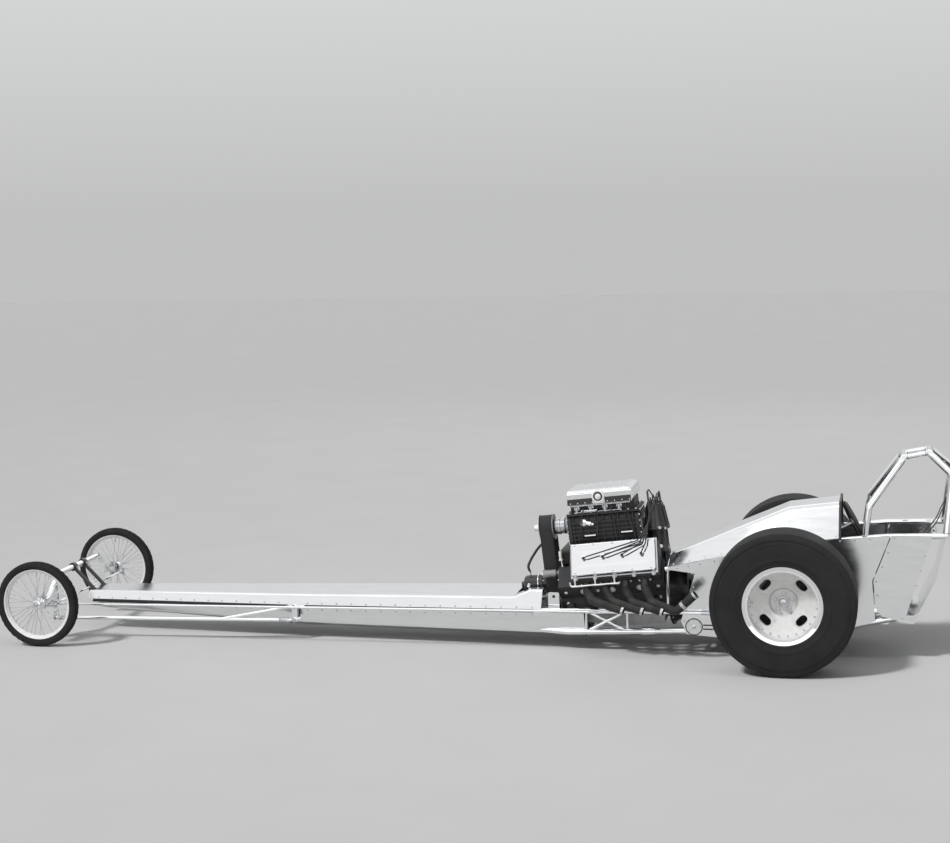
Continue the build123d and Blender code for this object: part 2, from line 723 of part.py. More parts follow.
def fuel_lines():
    """The bright pipe along each head's lower edge, hooked up at its front end."""
    y, z = HEAD_OUT[0] + 20, HEAD_OUT[1] - 28
    front, rear = HEAD_X0 - 4, HEAD_X0 - 300
    line = pipe([(front, y, z + 28), (front, y, z), (rear, y, z)], LINE_R, 14)
    for x in (-122, -244, -360):
        line += block((x - 5, x + 5), (HEAD_OUT[0] + SEAT_GAP, y), (z - 4, HEAD_OUT[1] + 6))
    return group([seat_engine(line), seat_engine(flip(line))])


def fuel_pump():
    """The fuel pump, driven from the block's front through the belt's loop."""
    start = PULLEY_X0 + BELT_W + 26
    end = start + PUMP_L
    body = rod((start, 0, PUMP_Z), (end, 0, PUMP_Z), PUMP_R)
    body = fillet(body.edges().sort_by(Axis.X)[-1], 22)
    body += rod((end - 1, 0, PUMP_Z), (end + 18, 0, PUMP_Z), 20)
    body += rod((start - 20, 0, PUMP_Z), (start, 0, PUMP_Z), PUMP_R - 11)
    return seat_engine(body + rod((SEAT_GAP, 0, PUMP_Z), (start, 0, PUMP_Z), PUMP_NECK_R))


def intake_manifold():
    """The manifold between the heads that carries the blower."""
    half = [(66, VALLEY_Z + SEAT_GAP), (112, 244), (138, 318), (BLOWER_HALF, BLOWER_Z - SEAT_GAP)]
    outline = half + [(-y, z) for y, z in reversed(half)]
    return seat_engine(wall(outline, BLOWER_X0 - BLOWER_L + 10, MANIFOLD_X0))


def blower():
    """The ribbed supercharger case with its end plates and drive snout."""
    mid_z = BLOWER_Z + BLOWER_H / 2
    x1, x0 = BLOWER_X0, BLOWER_X0 - BLOWER_L
    section = Plane(origin=(x0 + 22, 0, mid_z), x_dir=(0, 1, 0), z_dir=(1, 0, 0))
    case = extrude(section * RectangleRounded(2 * BLOWER_HALF - 24, BLOWER_H, 45), BLOWER_L - 44)
    ends = RectangleRounded(2 * BLOWER_HALF, BLOWER_H, 52)
    for x in (x0, x1 - 22):
        case += extrude(Plane(origin=(x, 0, mid_z), x_dir=(0, 1, 0), z_dir=(1, 0, 0)) * ends, 22)
    for i in range(5):
        z = BLOWER_Z + 58 + 25 * i
        case += block((x0 + 22, x1 - 22), (-BLOWER_HALF + 2, BLOWER_HALF - 2), (z - 4, z + 4))
    case += block((x0, x1), (-BLOWER_HALF, BLOWER_HALF), (BLOWER_Z, BLOWER_Z + 14))
    case += block((x0, x1), (-BLOWER_HALF, BLOWER_HALF), (BLOWER_Z + BLOWER_H - 12, BLOWER_Z + BLOWER_H))
    case += rod((x1, 0, TOP_PULLEY_Z), (PULLEY_X0 - 6, 0, TOP_PULLEY_Z), 46)
    return seat_engine(case)


def injector_body():
    """The injector body on the blower's top."""
    low = BLOWER_Z + BLOWER_H + SEAT_GAP
    body = block((HAT_X0 - HAT_L + 8, HAT_X0 - 15), (-110, 110), (low, low + INJECTOR_H))
    return seat_engine(fillet(body.edges().filter_by(Axis.Z), 14))


def injector_hat():
    """The scoop with its three round mouths and the round bosses on its sides."""
    low = BLOWER_Z + BLOWER_H + INJECTOR_H + 2 * SEAT_GAP
    front, rear, high = HAT_X0, HAT_X0 - HAT_L, low + HAT_H
    outline = [(front, low), (front - 14, high), (rear + 35, high), (rear + 8, high - 14),
               (rear, low + 20), (rear + 12, low)]
    hat = slab(outline, -HAT_HALF, HAT_HALF)
    hat = fillet(hat.edges().filter_by(Axis.X).group_by(Axis.Z)[-1], 22)
    middle = low + HAT_H / 2
    for y in (-92, 0, 92):
        hat -= rod((front + 10, y, middle), (front - 120, y, middle), 34)
        hat += block((front - 70, front - 66), (y - 35, y + 35), (low + 5, high - 5))
    x = front - 200
    hat += rod((x, -HAT_HALF - 8, middle), (x, HAT_HALF + 8, middle), BOSS_R)
    hat += rod((x, -HAT_HALF - 13, middle), (x, HAT_HALF + 13, middle), BOSS_R / 2)
    return seat_engine(hat)


def pulley(z, r):
    """One toothed drive pulley with its belt guides."""
    x0, x1 = PULLEY_X0, PULLEY_X0 + BELT_W
    wheel = rod((x0, 0, z), (x1, 0, z), r)
    wheel += rod((x0 - 4, 0, z), (x0, 0, z), r + BELT_T + 4)
    return wheel + rod((x1, 0, z), (x1 + 4, 0, z), r + BELT_T + 4)


def drive_pulleys():
    """The crankshaft and blower pulleys, and the roller on the belt's left side."""
    crank = pulley(0, CRANK_PULLEY_R) + rod((SEAT_GAP, 0, 0), (PULLEY_X0, 0, 0), 40)
    top = pulley(TOP_PULLEY_Z, TOP_PULLEY_R)
    y, z = CRANK_PULLEY_R + BELT_T + IDLER_R, IDLER_Z
    idler = rod((PULLEY_X0, y, z), (PULLEY_X0 + BELT_W, y, z), IDLER_R)
    idler += rod((10, y, z), (PULLEY_X0, y, z), 12)
    idler += block((SEAT_GAP, 12), (y - 22, y + 22), (z - 95, z + 20))
    return group([seat_engine(crank), seat_engine(top), seat_engine(idler)])


def drive_belt():
    """The wide toothed belt between the two pulleys."""
    def loop(extra):
        a, b = CRANK_PULLEY_R + extra, TOP_PULLEY_R + extra
        plane = Plane(origin=(PULLEY_X0 + SEAT_GAP, 0, 0), x_dir=(0, 1, 0), z_dir=(1, 0, 0))
        lean = (a - b) / TOP_PULLEY_Z
        side = (1 - lean ** 2) ** 0.5
        corners = [(a * side, a * lean), (b * side, TOP_PULLEY_Z + b * lean),
                   (-b * side, TOP_PULLEY_Z + b * lean), (-a * side, a * lean)]
        web = make_face(Polyline(*corners, close=True))
        face = web + Circle(a) + Pos(0, TOP_PULLEY_Z) * Circle(b)
        return extrude(plane * face, BELT_W - 2 * SEAT_GAP)
    return seat_engine(loop(BELT_T) - loop(SEAT_GAP))


def headers(side):
    """Four exhaust pipes with their flanges, swept down and back from one head."""
    pipes = []
    middle = HEAD_X0 - HEAD_L / 2
    run = hypot(HEAD_OUT[0] - DECK_LOW[0], HEAD_OUT[1] - DECK_LOW[1])
    out = ((HEAD_OUT[1] - DECK_LOW[1]) / run, (DECK_LOW[0] - HEAD_OUT[0]) / run)
    face = [tuple(p + (q - p) * share for p, q in zip(DECK_LOW, HEAD_OUT)) for share in (0.1, 0.9)]
    near = [(y + out[0] * SEAT_GAP, z + out[1] * SEAT_GAP) for y, z in face]
    far = [(y + out[0] * FLANGE_T, z + out[1] * FLANGE_T) for y, z in face]
    port_y, port_z = (face[0][0] + face[1][0]) / 2, (face[0][1] + face[1][1]) / 2
    for i in range(4):
        x = middle + (1.5 - i) * BORE_PITCH
        start = engine_point(x, port_y + out[0] * 3, port_z + out[1] * 3)
        stub = engine_point(x, port_y + out[0] * 60, port_z + out[1] * 60)
        points = [start, stub, (start[0] - 60, 425, 350), (start[0] - 245, 452, 300)]
        if i == 3:
            points[3:] = [(start[0] - 205, 455, 306), (start[0] - 320, 460, 412)]
        one = pipe(points, PIPE_R, 34) + seat_engine(wall(near + far[::-1], x - 38, x + 38))
        end, before = Vector(*points[-1]), Vector(*points[-2])
        back = (before - end).normalized()
        one -= rod(tuple(end - back), tuple(end + back * 50), PIPE_R - PIPE_WALL)
        pipes.append(one if side > 0 else flip(one))
    return group(pipes)


def magneto():
    """The tall magneto at the back of the block."""
    x = MAGNETO_X
    body = rod((x, 0, VALLEY_Z + SEAT_GAP), (x, 0, 270), 34)
    body += rod((x, 0, 262), (x, 0, 400), 58)
    cap = Plane(origin=(x, 0, 400), z_dir=(0, 0, 1)) * Circle(74)
    top = Plane(origin=(x, 0, MAGNETO_TOP), z_dir=(0, 0, 1)) * Circle(52)
    return seat_engine(body + loft([cap, top]))


def cowl_chain(x):
    """The cowl's outline at x, from the right shoulder to the left one."""
    _, shoulder, top_y, top_z = between(COWL, x)
    return [(-BODY_HALF, shoulder), (-top_y, top_z), (top_y, top_z), (BODY_HALF, shoulder)]


def cowl():
    """The hood over the driver's legs, from the firewall to the cockpit."""
    return loft([skin_face(x, cowl_chain(x), 50) for x, *_ in COWL], ruled=True)


def firewall():
    """The bulkhead between the clutch housing and the driver's feet."""
    edge = RAIL_IN - RAIL_R - SEAT_GAP
    _, _, top, shoulder = inset(cowl_chain(FIREWALL_X), SKIN + 2)
    z = shoulder[1] + (top[1] - shoulder[1]) * (shoulder[0] - edge) / (shoulder[0] - top[0])
    half = [(edge, 175), (edge, z), top]
    plate = wall(half + [(-y, z) for y, z in reversed(half)], FIREWALL_X - SKIN, FIREWALL_X)
    rear, along = coupler_line()
    return plate - rod(tuple(rear), tuple(rear + along * 600), COUPLER_HOLE_R)


def side_panel():
    """The left cockpit side, from the strip above the headers to the seat."""
    front = [(41, 124), (73, 201), (39, 328), (-12, 490)]
    outline = [(FIREWALL_X + x, z) for x, z in front]
    outline += [(COWL_FRONT_X, 510), (COWL_FRONT_X, 520), (FIREWALL_X - 10, 556), (0, 674),
                (-300, 712), (-584, 738), (-482, 470), (-500, 235), (-300, 170), (300, 116),
                (420, 112)]
    panel = slab(outline, BODY_HALF - SKIN, BODY_HALF)
    panel -= rod((0, 200, REAR_TYRE_R), (0, 300, REAR_TYRE_R), HOUSING_TUBE_R + 6)
    panel -= rod((PITMAN_X, 200, PITMAN_Z), (PITMAN_X, 300, PITMAN_Z), PITMAN_SHAFT_R + 6)
    return panel


def round_cover():
    """The round cover at the foot of the left side panel."""
    x, y, z = FIREWALL_X - 3, BODY_HALF - 1, 170
    disc = rod((x, y, z), (x, y + 3, z), COVER_R) + rod((x, y, z), (x, y + 7, z), COVER_R - 6)
    disc -= rod((x, y + 3, z), (x, y + 8, z), COVER_R - 13)
    return disc + rod((x, y, z), (x, y + 8, z), 12)


def tail_panel():
    """The tall panel beside the seat, behind the wheel."""
    outline = [(-590, 738), (-488, 470), (-506, 300), (-540, 262), (-650, 240), (-670, 266),
               (-816, 738)]
    return slab(outline, BODY_HALF - SKIN, BODY_HALF)


def tail_skin():
    """The curved sheet behind the seat."""
    drop = 6
    outer = [(-660, 232), (-745, 285), (-838, 474), (-893, height_on(SHOULDER, -893) - drop)]
    reach = RAIL_IN + RAIL_R - SHOULDER_R - (SHOULDER_R ** 2 - drop ** 2) ** 0.5 - SEAT_GAP
    return slab(outer + inset(outer, SKIN)[::-1], -reach, reach)


def seat_line():
    """The seat's underside and back in X and Z, from the front edge to the top."""
    low = height_on(LOWER_REAR, -330) + CROSS_R + SEAT_GAP
    return [(-308, low), (-570, low), (-690, 330), (-816, 740)]


def seat_shell():
    """The bucket seat, a bent sheet with side wings."""
    pan = seat_line()
    sheet = slab(pan + inset(pan, SEAT_T)[::-1], -SEAT_HALF, SEAT_HALF)
    wing = pan + [(-748, 700), (-560, 420), (-330, 320)]
    for side in (1, -1):
        sheet += slab(wing, *sorted((side * (SEAT_HALF - SEAT_T), side * SEAT_HALF)))
    return sheet


def seat_pad():
    """The padding in the bucket seat."""
    front, bend, back, top = seat_line()
    line = [(front[0] - 12, front[1]), bend, back, (top[0] + 10, top[1] - 33)]
    low, high = inset(line, SEAT_T + SEAT_GAP), inset(line, SEAT_T + PAD_T)
    reach = SEAT_HALF - SEAT_T - SEAT_GAP
    return slab(low + high[::-1], -reach, reach)


def roll_cage():
    """The two hoops over the driver's head with their cross tubes."""
    foot_y = RAIL_IN
    z_rear, z_front = height_on(SHOULDER, -890), height_on(SHOULDER, -440)
    rear = [(-892, foot_y, z_rear), (-925, 195, 1080), (-800, 125, 1195)]
    front = [(-440, foot_y, z_front), (-465, 225, 900), (-655, 150, 1167)]
    cage = pipe(rear + [(x, -y, z) for x, y, z in reversed(rear)], CAGE_R, 50)
    cage += pipe(front + [(x, -y, z) for x, y, z in reversed(front)], CAGE_R, 50)
    for side in (1, -1):
        cage += rod((-800, side * 90, 1195), (-655, side * 90, 1167), CAGE_R - 4)
        cage += rod((-911, side * 120, PACK_LOW_Z - 8), (-911, side * 120, 1060), 10)
        shelf = (PACK_LOW_Z - 8, PACK_LOW_Z - SEAT_GAP)
        cage += block((-1100, -905), sorted((side * 100, side * 140)), shelf)
    cage += rod((-911, -210, 900), (-911, 210, 900), 14)
    rail = pipe(shoulder_points(), SHOULDER_R + SEAT_GAP, 60)
    return cage - rail - flip(rail)


def parachute_pack():
    """The packed parachute behind the cage."""
    pack = block((-REAR_OVERHANG, PACK_FRONT_X), (-PACK_HALF, PACK_HALF), (PACK_LOW_Z, PACK_HIGH_Z))
    return fillet(pack.edges(), 35)


def front_rim():
    """The left wire wheel: hoop, hub and laced spokes."""
    half = FRONT_RIM_W / 2
    hoop = [(FRONT_LIP_R, -half), (FRONT_LIP_R, -half + 3), (FRONT_RIM_R, -half + 5),
            (FRONT_RIM_R - 8, -8), (FRONT_RIM_R - 8, 8), (FRONT_RIM_R, half - 5),
            (FRONT_LIP_R, half - 3), (FRONT_LIP_R, half), (FRONT_RIM_R - 4, half),
            (FRONT_RIM_R - 13, 10), (FRONT_RIM_R - 13, -10), (FRONT_RIM_R - 4, -half)]
    wheel = ring_about_y(hoop, FRONT_Y)
    hub = ring_about_y([(SPINDLE_R + RUN_GAP, -26), (34, -26), (34, -21), (24, -18), (20, 14),
                        (26, 17), (26, 22), (18, 26), (SPINDLE_R + RUN_GAP, 26)], FRONT_Y)
    count = 32
    for i in range(count):
        angle = 360 / count * i
        outer = i % 2
        lean = 24 if i % 4 < 2 else -24
        start = Vector(24, 18 if outer else -20, 0).rotate(Axis.Y, angle + lean)
        end = Vector(FRONT_RIM_R - 10, 4 if outer else -4, 0).rotate(Axis.Y, angle)
        plane = Plane(origin=start, z_dir=end - start)
        spoke = extrude(plane * RegularPolygon(2.6, 4), (end - start).length)
        hub += Pos(0, FRONT_Y, 0) * spoke
    wheel += hub
    return Pos(WHEELBASE, 0, FRONT_TYRE_R) * wheel


def tyre(outer_r, bead_r, width, bead_w, wall_t, shoulder):
    """A tyre's open section turned about the wheel's axis."""
    high, low = width / 2, bead_w / 2
    side = bead_r + (outer_r - bead_r) * 0.55
    outer = FilletPolyline((bead_r, -low, 0), (side, -high, 0), (outer_r, -high + 0.08 * width, 0),
                           (outer_r, high - 0.08 * width, 0), (side, high, 0), (bead_r, low, 0),
                           radius=[shoulder, shoulder, shoulder, shoulder])
    t = wall_t
    inner = FilletPolyline((bead_r, -low + t, 0), (side, -high + t, 0),
                           (outer_r - t, -high + 0.08 * width + t, 0),
                           (outer_r - t, high - 0.08 * width - t, 0), (side, high - t, 0),
                           (bead_r, low - t, 0), radius=[max(shoulder - t, 2)] * 4)
    ends = [Line(outer @ 0, inner @ 0), Line(outer @ 1, inner @ 1)]
    face = make_face([*outer.edges(), *inner.edges(), *ends])
    return revolve(face, Axis.Y, 360)


def front_tyre():
    shape = tyre(FRONT_TYRE_R, FRONT_RIM_R + SEAT_GAP, FRONT_TYRE_W, FRONT_RIM_W - 18, 9, 14)
    return Pos(WHEELBASE, FRONT_Y, FRONT_TYRE_R) * shape


def rear_tyre():
    shape = tyre(REAR_TYRE_R, REAR_RIM_R + SEAT_GAP, REAR_TYRE_W, REAR_RIM_W - 28, 14, 30)
    return Pos(0, REAR_Y, REAR_TYRE_R) * shape


def rear_rim():
    """The left rear wheel: dished magnesium centre with four windows, and its axle stub."""
    half = REAR_RIM_W / 2
    barrel = [(REAR_LIP_R, -half), (REAR_LIP_R, -half + 5), (REAR_RIM_R, -half + 8),
              (REAR_RIM_R, half - 8), (REAR_LIP_R, half - 5), (REAR_LIP_R, half),
              (REAR_RIM_R - 8, half), (REAR_RIM_R - 8, -half)]
    wheel = ring_about_y(barrel, REAR_Y)
    dish = [(30, -10), (72, -10), (84, 4), (150, 22), (REAR_RIM_R - 4, 40), (REAR_RIM_R - 4, 26),
            (150, 8), (92, -12), (80, -26), (30, -26)]
    wheel += ring_about_y(dish, REAR_Y)
    for i in range(4):
        angle = 45 + 90 * i
        window = rod((132, REAR_Y - 60, 0), (132, REAR_Y + 90, 0), 32)
        wide = Pos(150, REAR_Y, 0) * Box(36, 160, 90)
        cut = (window + wide) & rod((0, REAR_Y - 60, 0), (0, REAR_Y + 90, 0), 174)
        wheel -= cut.rotate(Axis.Y, angle)
    collar, drum = HOUSING_END_Y + 6 - REAR_Y, HOUSING_END_Y + DRUM_GAP - REAR_Y
    hub = [(0, -190), (SHAFT_R, -190), (SHAFT_R, collar), (64, collar), (64, -26), (70, -26),
           (70, -8), (30, -8), (26, 14), (0, 14)]
    wheel += ring_about_y(hub, REAR_Y)
    brake = [(40, drum), (DRUM_R, drum), (DRUM_R, drum + DRUM_W), (40, drum + DRUM_W + 14)]
    return Pos(0, 0, REAR_TYRE_R) * (wheel + ring_about_y(brake, REAR_Y))


def save(name, part):
    """Writes one sub-part in the finished frame, with its origin under the middle of the car."""
    shape = Pos(REAR_X, 0, 0) * part
    export_step(shape, f"parts/{name}.step")


def both(name, part):
    """Writes a left sub-part and its mirror image."""
    save(f"{name}_left", part)
    save(f"{name}_right", flip(part))


os.makedirs("parts", exist_ok=True)
both("frame", side_frame())
save("frame_crossmembers", crossmembers())
save("nose_top_panel", nose_top_panel())
save("belly_pan", belly_pan())
save("front_axle", front_axle())
save("axle_perch", axle_perch())
save("radius_rods", radius_rods())
save("knuckle_left", knuckle(True))
save("knuckle_right", flip(knuckle(False)))
save("tie_rod", tie_rod())
save("drag_link", drag_link())
save("pitman_arm", pitman_arm())
save("steering_box", steering_box())
save("steering_wheel", steering_wheel())
both("front_rim", front_rim())
both("front_tyre", front_tyre())
both("rear_rim", rear_rim())
both("rear_tyre", rear_tyre())
save("rear_axle_housing", rear_axle_housing())
save("coupler_tube", coupler_tube())
save("engine_block", engine_block())
save("oil_pan", oil_pan())
save("bell_housing", bell_housing())
save("cylinder_heads", cylinder_heads())
save("valve_covers", valve_covers())
save("intake_manifold", intake_manifold())
save("blower", blower())
save("injector_body", injector_body())
save("injector_hat", injector_hat())
save("drive_pulleys", drive_pulleys())
save("drive_belt", drive_belt())
save("headers_left", headers(1))
save("headers_right", headers(-1))
save("magneto", magneto())
save("plug_leads", plug_leads())
save("fuel_lines", fuel_lines())
save("fuel_pump", fuel_pump())
save("cowl", cowl())
save("firewall", firewall())
save("side_panel_left", side_panel() + round_cover())
save("side_panel_right", flip(side_panel()))
both("tail_panel", tail_panel())
save("tail_skin", tail_skin())
save("seat_shell", seat_shell())
save("seat_pad", seat_pad())
save("roll_cage", roll_cage())
save("parachute_pack", parachute_pack())
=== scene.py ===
import json
from math import asin, atan2, copysign, cos, exp, hypot, pi, radians, sin

import bmesh
import bpy
from mathutils import Matrix, Vector
from mathutils.bvhtree import BVHTree


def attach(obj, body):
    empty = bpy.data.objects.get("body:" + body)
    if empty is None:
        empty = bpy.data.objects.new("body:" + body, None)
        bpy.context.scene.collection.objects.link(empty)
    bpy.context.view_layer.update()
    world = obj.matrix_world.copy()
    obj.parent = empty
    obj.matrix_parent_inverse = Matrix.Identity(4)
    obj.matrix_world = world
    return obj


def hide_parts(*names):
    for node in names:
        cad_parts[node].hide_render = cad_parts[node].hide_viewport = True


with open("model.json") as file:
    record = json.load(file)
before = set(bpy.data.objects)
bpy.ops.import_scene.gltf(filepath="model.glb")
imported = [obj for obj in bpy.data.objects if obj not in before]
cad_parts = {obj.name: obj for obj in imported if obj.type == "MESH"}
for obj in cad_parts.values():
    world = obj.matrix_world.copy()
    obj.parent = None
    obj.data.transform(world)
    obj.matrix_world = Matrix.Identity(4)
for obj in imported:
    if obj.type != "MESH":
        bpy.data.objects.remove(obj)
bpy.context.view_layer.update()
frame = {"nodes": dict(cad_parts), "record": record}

# Points given to at and eng, profiles, radii and widths are in millimetres.
# Vectors that are added to points are in metres.
REAR_X = -1.864  # the rear axle in the row frame, in metres
WHEELBASE = 4600
REAR_Z = 410  # height of the rear axle
KINGPIN_Y = 500
ROD_BRACKET_X = 3035  # the radius rods' brackets on the frame
BODY_HALF = 255  # half the width of the body
ENGINE_X, ENGINE_Z = 1345, 254  # origin of the engine's frame
TILT = radians(6)  # the engine leans down to the front
PULLEY_Z = 460  # the upper pulley over the lower one
CYLINDERS = [-186, -302, -418, -534]
SIDES = (("left", 1), ("right", -1))
SLOTS = {s["node"]: s["material_slot"] for s in frame["record"]["subparts"]}

X, Y, Z = Vector((1, 0, 0)), Vector((0, 1, 0)), Vector((0, 0, 1))
ENG_X = Vector((cos(TILT), 0, -sin(TILT)))
ENG_Z = Vector((sin(TILT), 0, cos(TILT)))


def at(x, y, z):
    """A point given in millimetres from the rear axle, in the row frame."""
    return Vector((x / 1000 + REAR_X, y / 1000, z / 1000))


def eng(x, y, z):
    """A point of the engine's tilted frame, in millimetres, in the row frame."""
    return at(ENGINE_X + x * cos(TILT) + z * sin(TILT), y, ENGINE_Z - x * sin(TILT) + z * cos(TILT))


def splay(side, y, z):
    """A direction square to the crank: y outwards on a side, z up the engine."""
    return Y * (side * y) + ENG_Z * z


def new_node(tree, kind, inputs, **settings):
    """Adds a shader node with its settings and inputs."""
    made = tree.nodes.new("ShaderNode" + kind)
    for key, value in settings.items():
        setattr(made, key, value)
    return wire(tree, made, inputs)


def wire(tree, made, inputs):
    """Sets a node's inputs to values, or links them to other nodes' outputs."""
    for key, value in inputs.items():
        if isinstance(value, bpy.types.NodeSocket):
            tree.links.new(value, made.inputs[key])
        else:
            made.inputs[key].default_value = value
    return made


def colour_ramp(tree, fac, *stops):
    """A colour ramp: stops are (position, colour), the two outer ones first."""
    made = new_node(tree, "ValToRGB", {"Fac": fac})
    elements = made.color_ramp.elements
    for i, (position, colour) in enumerate(stops):
        element = elements[i] if i < 2 else elements.new(position)
        element.position = position
        element.color = (*colour, 1)
    return made.outputs["Color"]


def finish(name, colour, metallic, rough, vary, mottle, scale, bump, grain, stretch=(1, 1, 1),
           second=None, coat=0.0, level=0.5):
    """A procedural finish: two noises drive its colour, its roughness and a fine relief."""
    m = bpy.data.materials.new(name)
    m.use_nodes = True
    t = m.node_tree
    place = new_node(t, "TexCoord", {}).outputs["Object"]
    place = new_node(t, "Mapping", {"Scale": stretch, "Vector": place}).outputs["Vector"]
    wide, fine = [new_node(t, "TexNoise", {"Scale": s, "Detail": d, "Vector": place}).outputs["Fac"]
                  for s, d in ((scale, 5), (grain, 3))]
    low = [c * (1 - mottle) for c in colour]
    high = [min(1, c * (1 + mottle)) for c in (second or colour)]
    span = new_node(t, "MapRange", {"To Min": max(0.02, rough - vary),
                                    "To Max": min(1, rough + vary), "Value": wide})
    relief = new_node(t, "Bump", {"Strength": bump, "Distance": 0.0004, "Height": fine})
    wire(t, t.nodes["Principled BSDF"], {
        "Metallic": metallic, "Specular IOR Level": level, "Coat Weight": coat,
        "Coat Roughness": 0.1, "Base Color": colour_ramp(t, wide, (0.3, low), (0.7, high)),
        "Roughness": span.outputs["Result"], "Normal": relief.outputs["Normal"]})
    return m


FINISHES = {
    "body_aluminium": finish("polished_sheet", (0.86, 0.87, 0.88), 1.0, 0.17, 0.07, 0.03, 6.0,
                             0.05, 160.0, (1, 6, 6)),
    "chrome": finish("chrome_plate", (0.9, 0.91, 0.92), 1.0, 0.06, 0.03, 0.02, 12.0, 0.02, 300.0),
    "steel": finish("bright_steel", (0.58, 0.59, 0.61), 1.0, 0.28, 0.08, 0.08, 40.0, 0.1, 700.0),
    "magnesium": finish("cast_magnesium", (0.86, 0.86, 0.85), 0.35, 0.45, 0.1, 0.06, 35.0, 0.3,
                        900.0),
    "cast_aluminium": finish("sand_cast_aluminium", (0.34, 0.34, 0.345), 0.9, 0.5, 0.1, 0.12,
                             30.0, 0.5, 1100.0),
    "cast_iron": finish("painted_iron", (0.036, 0.036, 0.038), 0.15, 0.52, 0.12, 0.2, 22.0, 0.5,
                        900.0, level=0.4),
    "tyre": finish("tyre_rubber", (0.017, 0.017, 0.0175), 0.0, 0.7, 0.1, 0.3, 9.0, 0.35, 700.0,
                   level=0.3),
    "belt_rubber": finish("belt_rubber", (0.018, 0.018, 0.02), 0.0, 0.62, 0.1, 0.2, 30.0, 0.3,
                          900.0, (1, 12, 1)),
    "header_black": finish("heat_stained_pipe", (0.02, 0.0197, 0.0193), 0.3, 0.46, 0.12, 0.3, 14.0,
                           0.25, 600.0, second=(0.036, 0.0345, 0.033), level=0.4),
    "engine_black": finish("engine_enamel", (0.022, 0.022, 0.0235), 0.0, 0.35, 0.1, 0.1, 25.0, 0.1,
                           500.0, coat=0.3),
    "black_plastic": finish("moulded_plastic", (0.028, 0.028, 0.03), 0.0, 0.4, 0.08, 0.1, 25.0,
                            0.2, 900.0),
    "seat_leather": finish("seat_vinyl", (0.045, 0.042, 0.04), 0.0, 0.5, 0.1, 0.2, 14.0, 0.6,
                           1400.0),
    "pack_fabric": finish("pack_canvas", (0.05, 0.05, 0.052), 0.0, 0.85, 0.06, 0.2, 10.0, 0.6,
                          2200.0),
}
TREAD = finish("tread_rubber", (0.009, 0.009, 0.0094), 0.0, 0.66, 0.1, 0.3, 9.0, 0.35, 700.0, level=0.2)
WHEEL = finish("wheel_casting_inboard_shade", (0.76, 0.76, 0.75), 0.35, 0.45, 0.1, 0.06, 35.0, 0.3, 900.0)


def paint_inboard_shade(m, near, far, dark):
    """Paints shade inboard on a wheel's finish, so the drum seen through the windows looks shadowed."""
    t = m.node_tree
    shader = t.nodes["Principled BSDF"]
    paint = shader.inputs["Base Color"].links[0].from_socket
    place = new_node(t, "TexCoord", {}).outputs["Object"]
    across = new_node(t, "SeparateXYZ", {"Vector": place}).outputs["Y"]
    across = new_node(t, "Math", {0: across}, operation="ABSOLUTE").outputs[0]
    span = new_node(t, "MapRange", {"From Min": near, "From Max": far, "Value": across})
    blend = new_node(t, "Mix", {"A": (*dark, 1), "B": paint, "Factor": span.outputs["Result"]},
                     data_type="RGBA")
    wire(t, shader, {"Base Color": blend.outputs["Result"]})


# Painted shade: the rear wheels' finish goes near black inboard, for the shadow inside the dish's
# windows.
paint_inboard_shade(WHEEL, 0.525, 0.54, (0.03, 0.03, 0.031))

for node, piece in frame["nodes"].items():
    piece.data.materials.clear()
    piece.data.materials.append(WHEEL if SLOTS[node] == "magnesium" else FINISHES[SLOTS[node]])
    for face in piece.data.polygons:
        face.material_index = 0


def linked(name, data):
    """A new object in the scene."""
    made = bpy.data.objects.new(name, data)
    bpy.context.scene.collection.objects.link(made)
    return made


def settle(piece, slot, body="chassis"):
    """Gives a piece its finish and the body that carries it."""
    piece.data.materials.append(FINISHES[slot])
    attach(piece, body)
    return piece


def add(name, bm, slot, body="chassis", angle=35):
    """Makes a piece of the built mesh, smooth up to an angle, and empties bm for the next."""
    mesh = bpy.data.meshes.new(name)
    bmesh.ops.remove_doubles(bm, verts=bm.verts, dist=1e-6)
    bmesh.ops.recalc_face_normals(bm, faces=bm.faces)
    bm.to_mesh(mesh)
    bm.clear()
    if angle:
        mesh.shade_smooth()
        mesh.set_sharp_from_angle(angle=radians(angle))
    return settle(linked(name, mesh), slot, body)


def circle(count, shift=0.0):
    """The cosine and sine of count even angles; shift is a part of the step between them."""
    return [(cos(2 * pi * (i + shift) / count), sin(2 * pi * (i + shift) / count)) for i in range(count)]


def bridge(bm, rows, closed=True, gaps=()):
    """Joins rows of vertices all round with quads; an open run of rows gets end faces."""
    for low, high in zip(rows, rows[1:] + rows[:1] if closed else rows[1:]):
        for k in range(len(low)):
            j = (k + 1) % len(low)
            if k not in gaps:
                bm.faces.new([low[k], low[j], high[j], high[k]])
    if not closed:
        bm.faces.new(rows[0][::-1])
        bm.faces.new(rows[-1])


def turned(bm, profile, centre, axis, steps):
    """Adds a turned ring or disc: profile is (radius, distance along the axis), in millimetres."""
    axis = Vector(axis).normalized()
    side = axis.orthogonal().normalized()
    other = axis.cross(side)
    rows = [[bm.verts.new(centre + (side * c + other * s) * (r / 1000) + axis * (h / 1000))
             for r, h in profile] for c, s in circle(steps)]
    inside = [r < 1e-6 for r, _ in profile]
    bridge(bm, rows,
           gaps=[j for j in range(len(profile)) if inside[j] and inside[(j + 1) % len(profile)]])


def disc(bm, r, low, high, centre, axis, steps):
    """Adds a plain disc from low to high along the axis; six steps make a nut."""
    turned(bm, [(0, low), (r, low), (r, high), (0, high)], centre, axis, steps)


def bar(bm, a, b, r, sides=12):
    """Adds a round bar between two points."""
    disc(bm, r, 0, (b - a).length * 1000, a, b - a, sides)


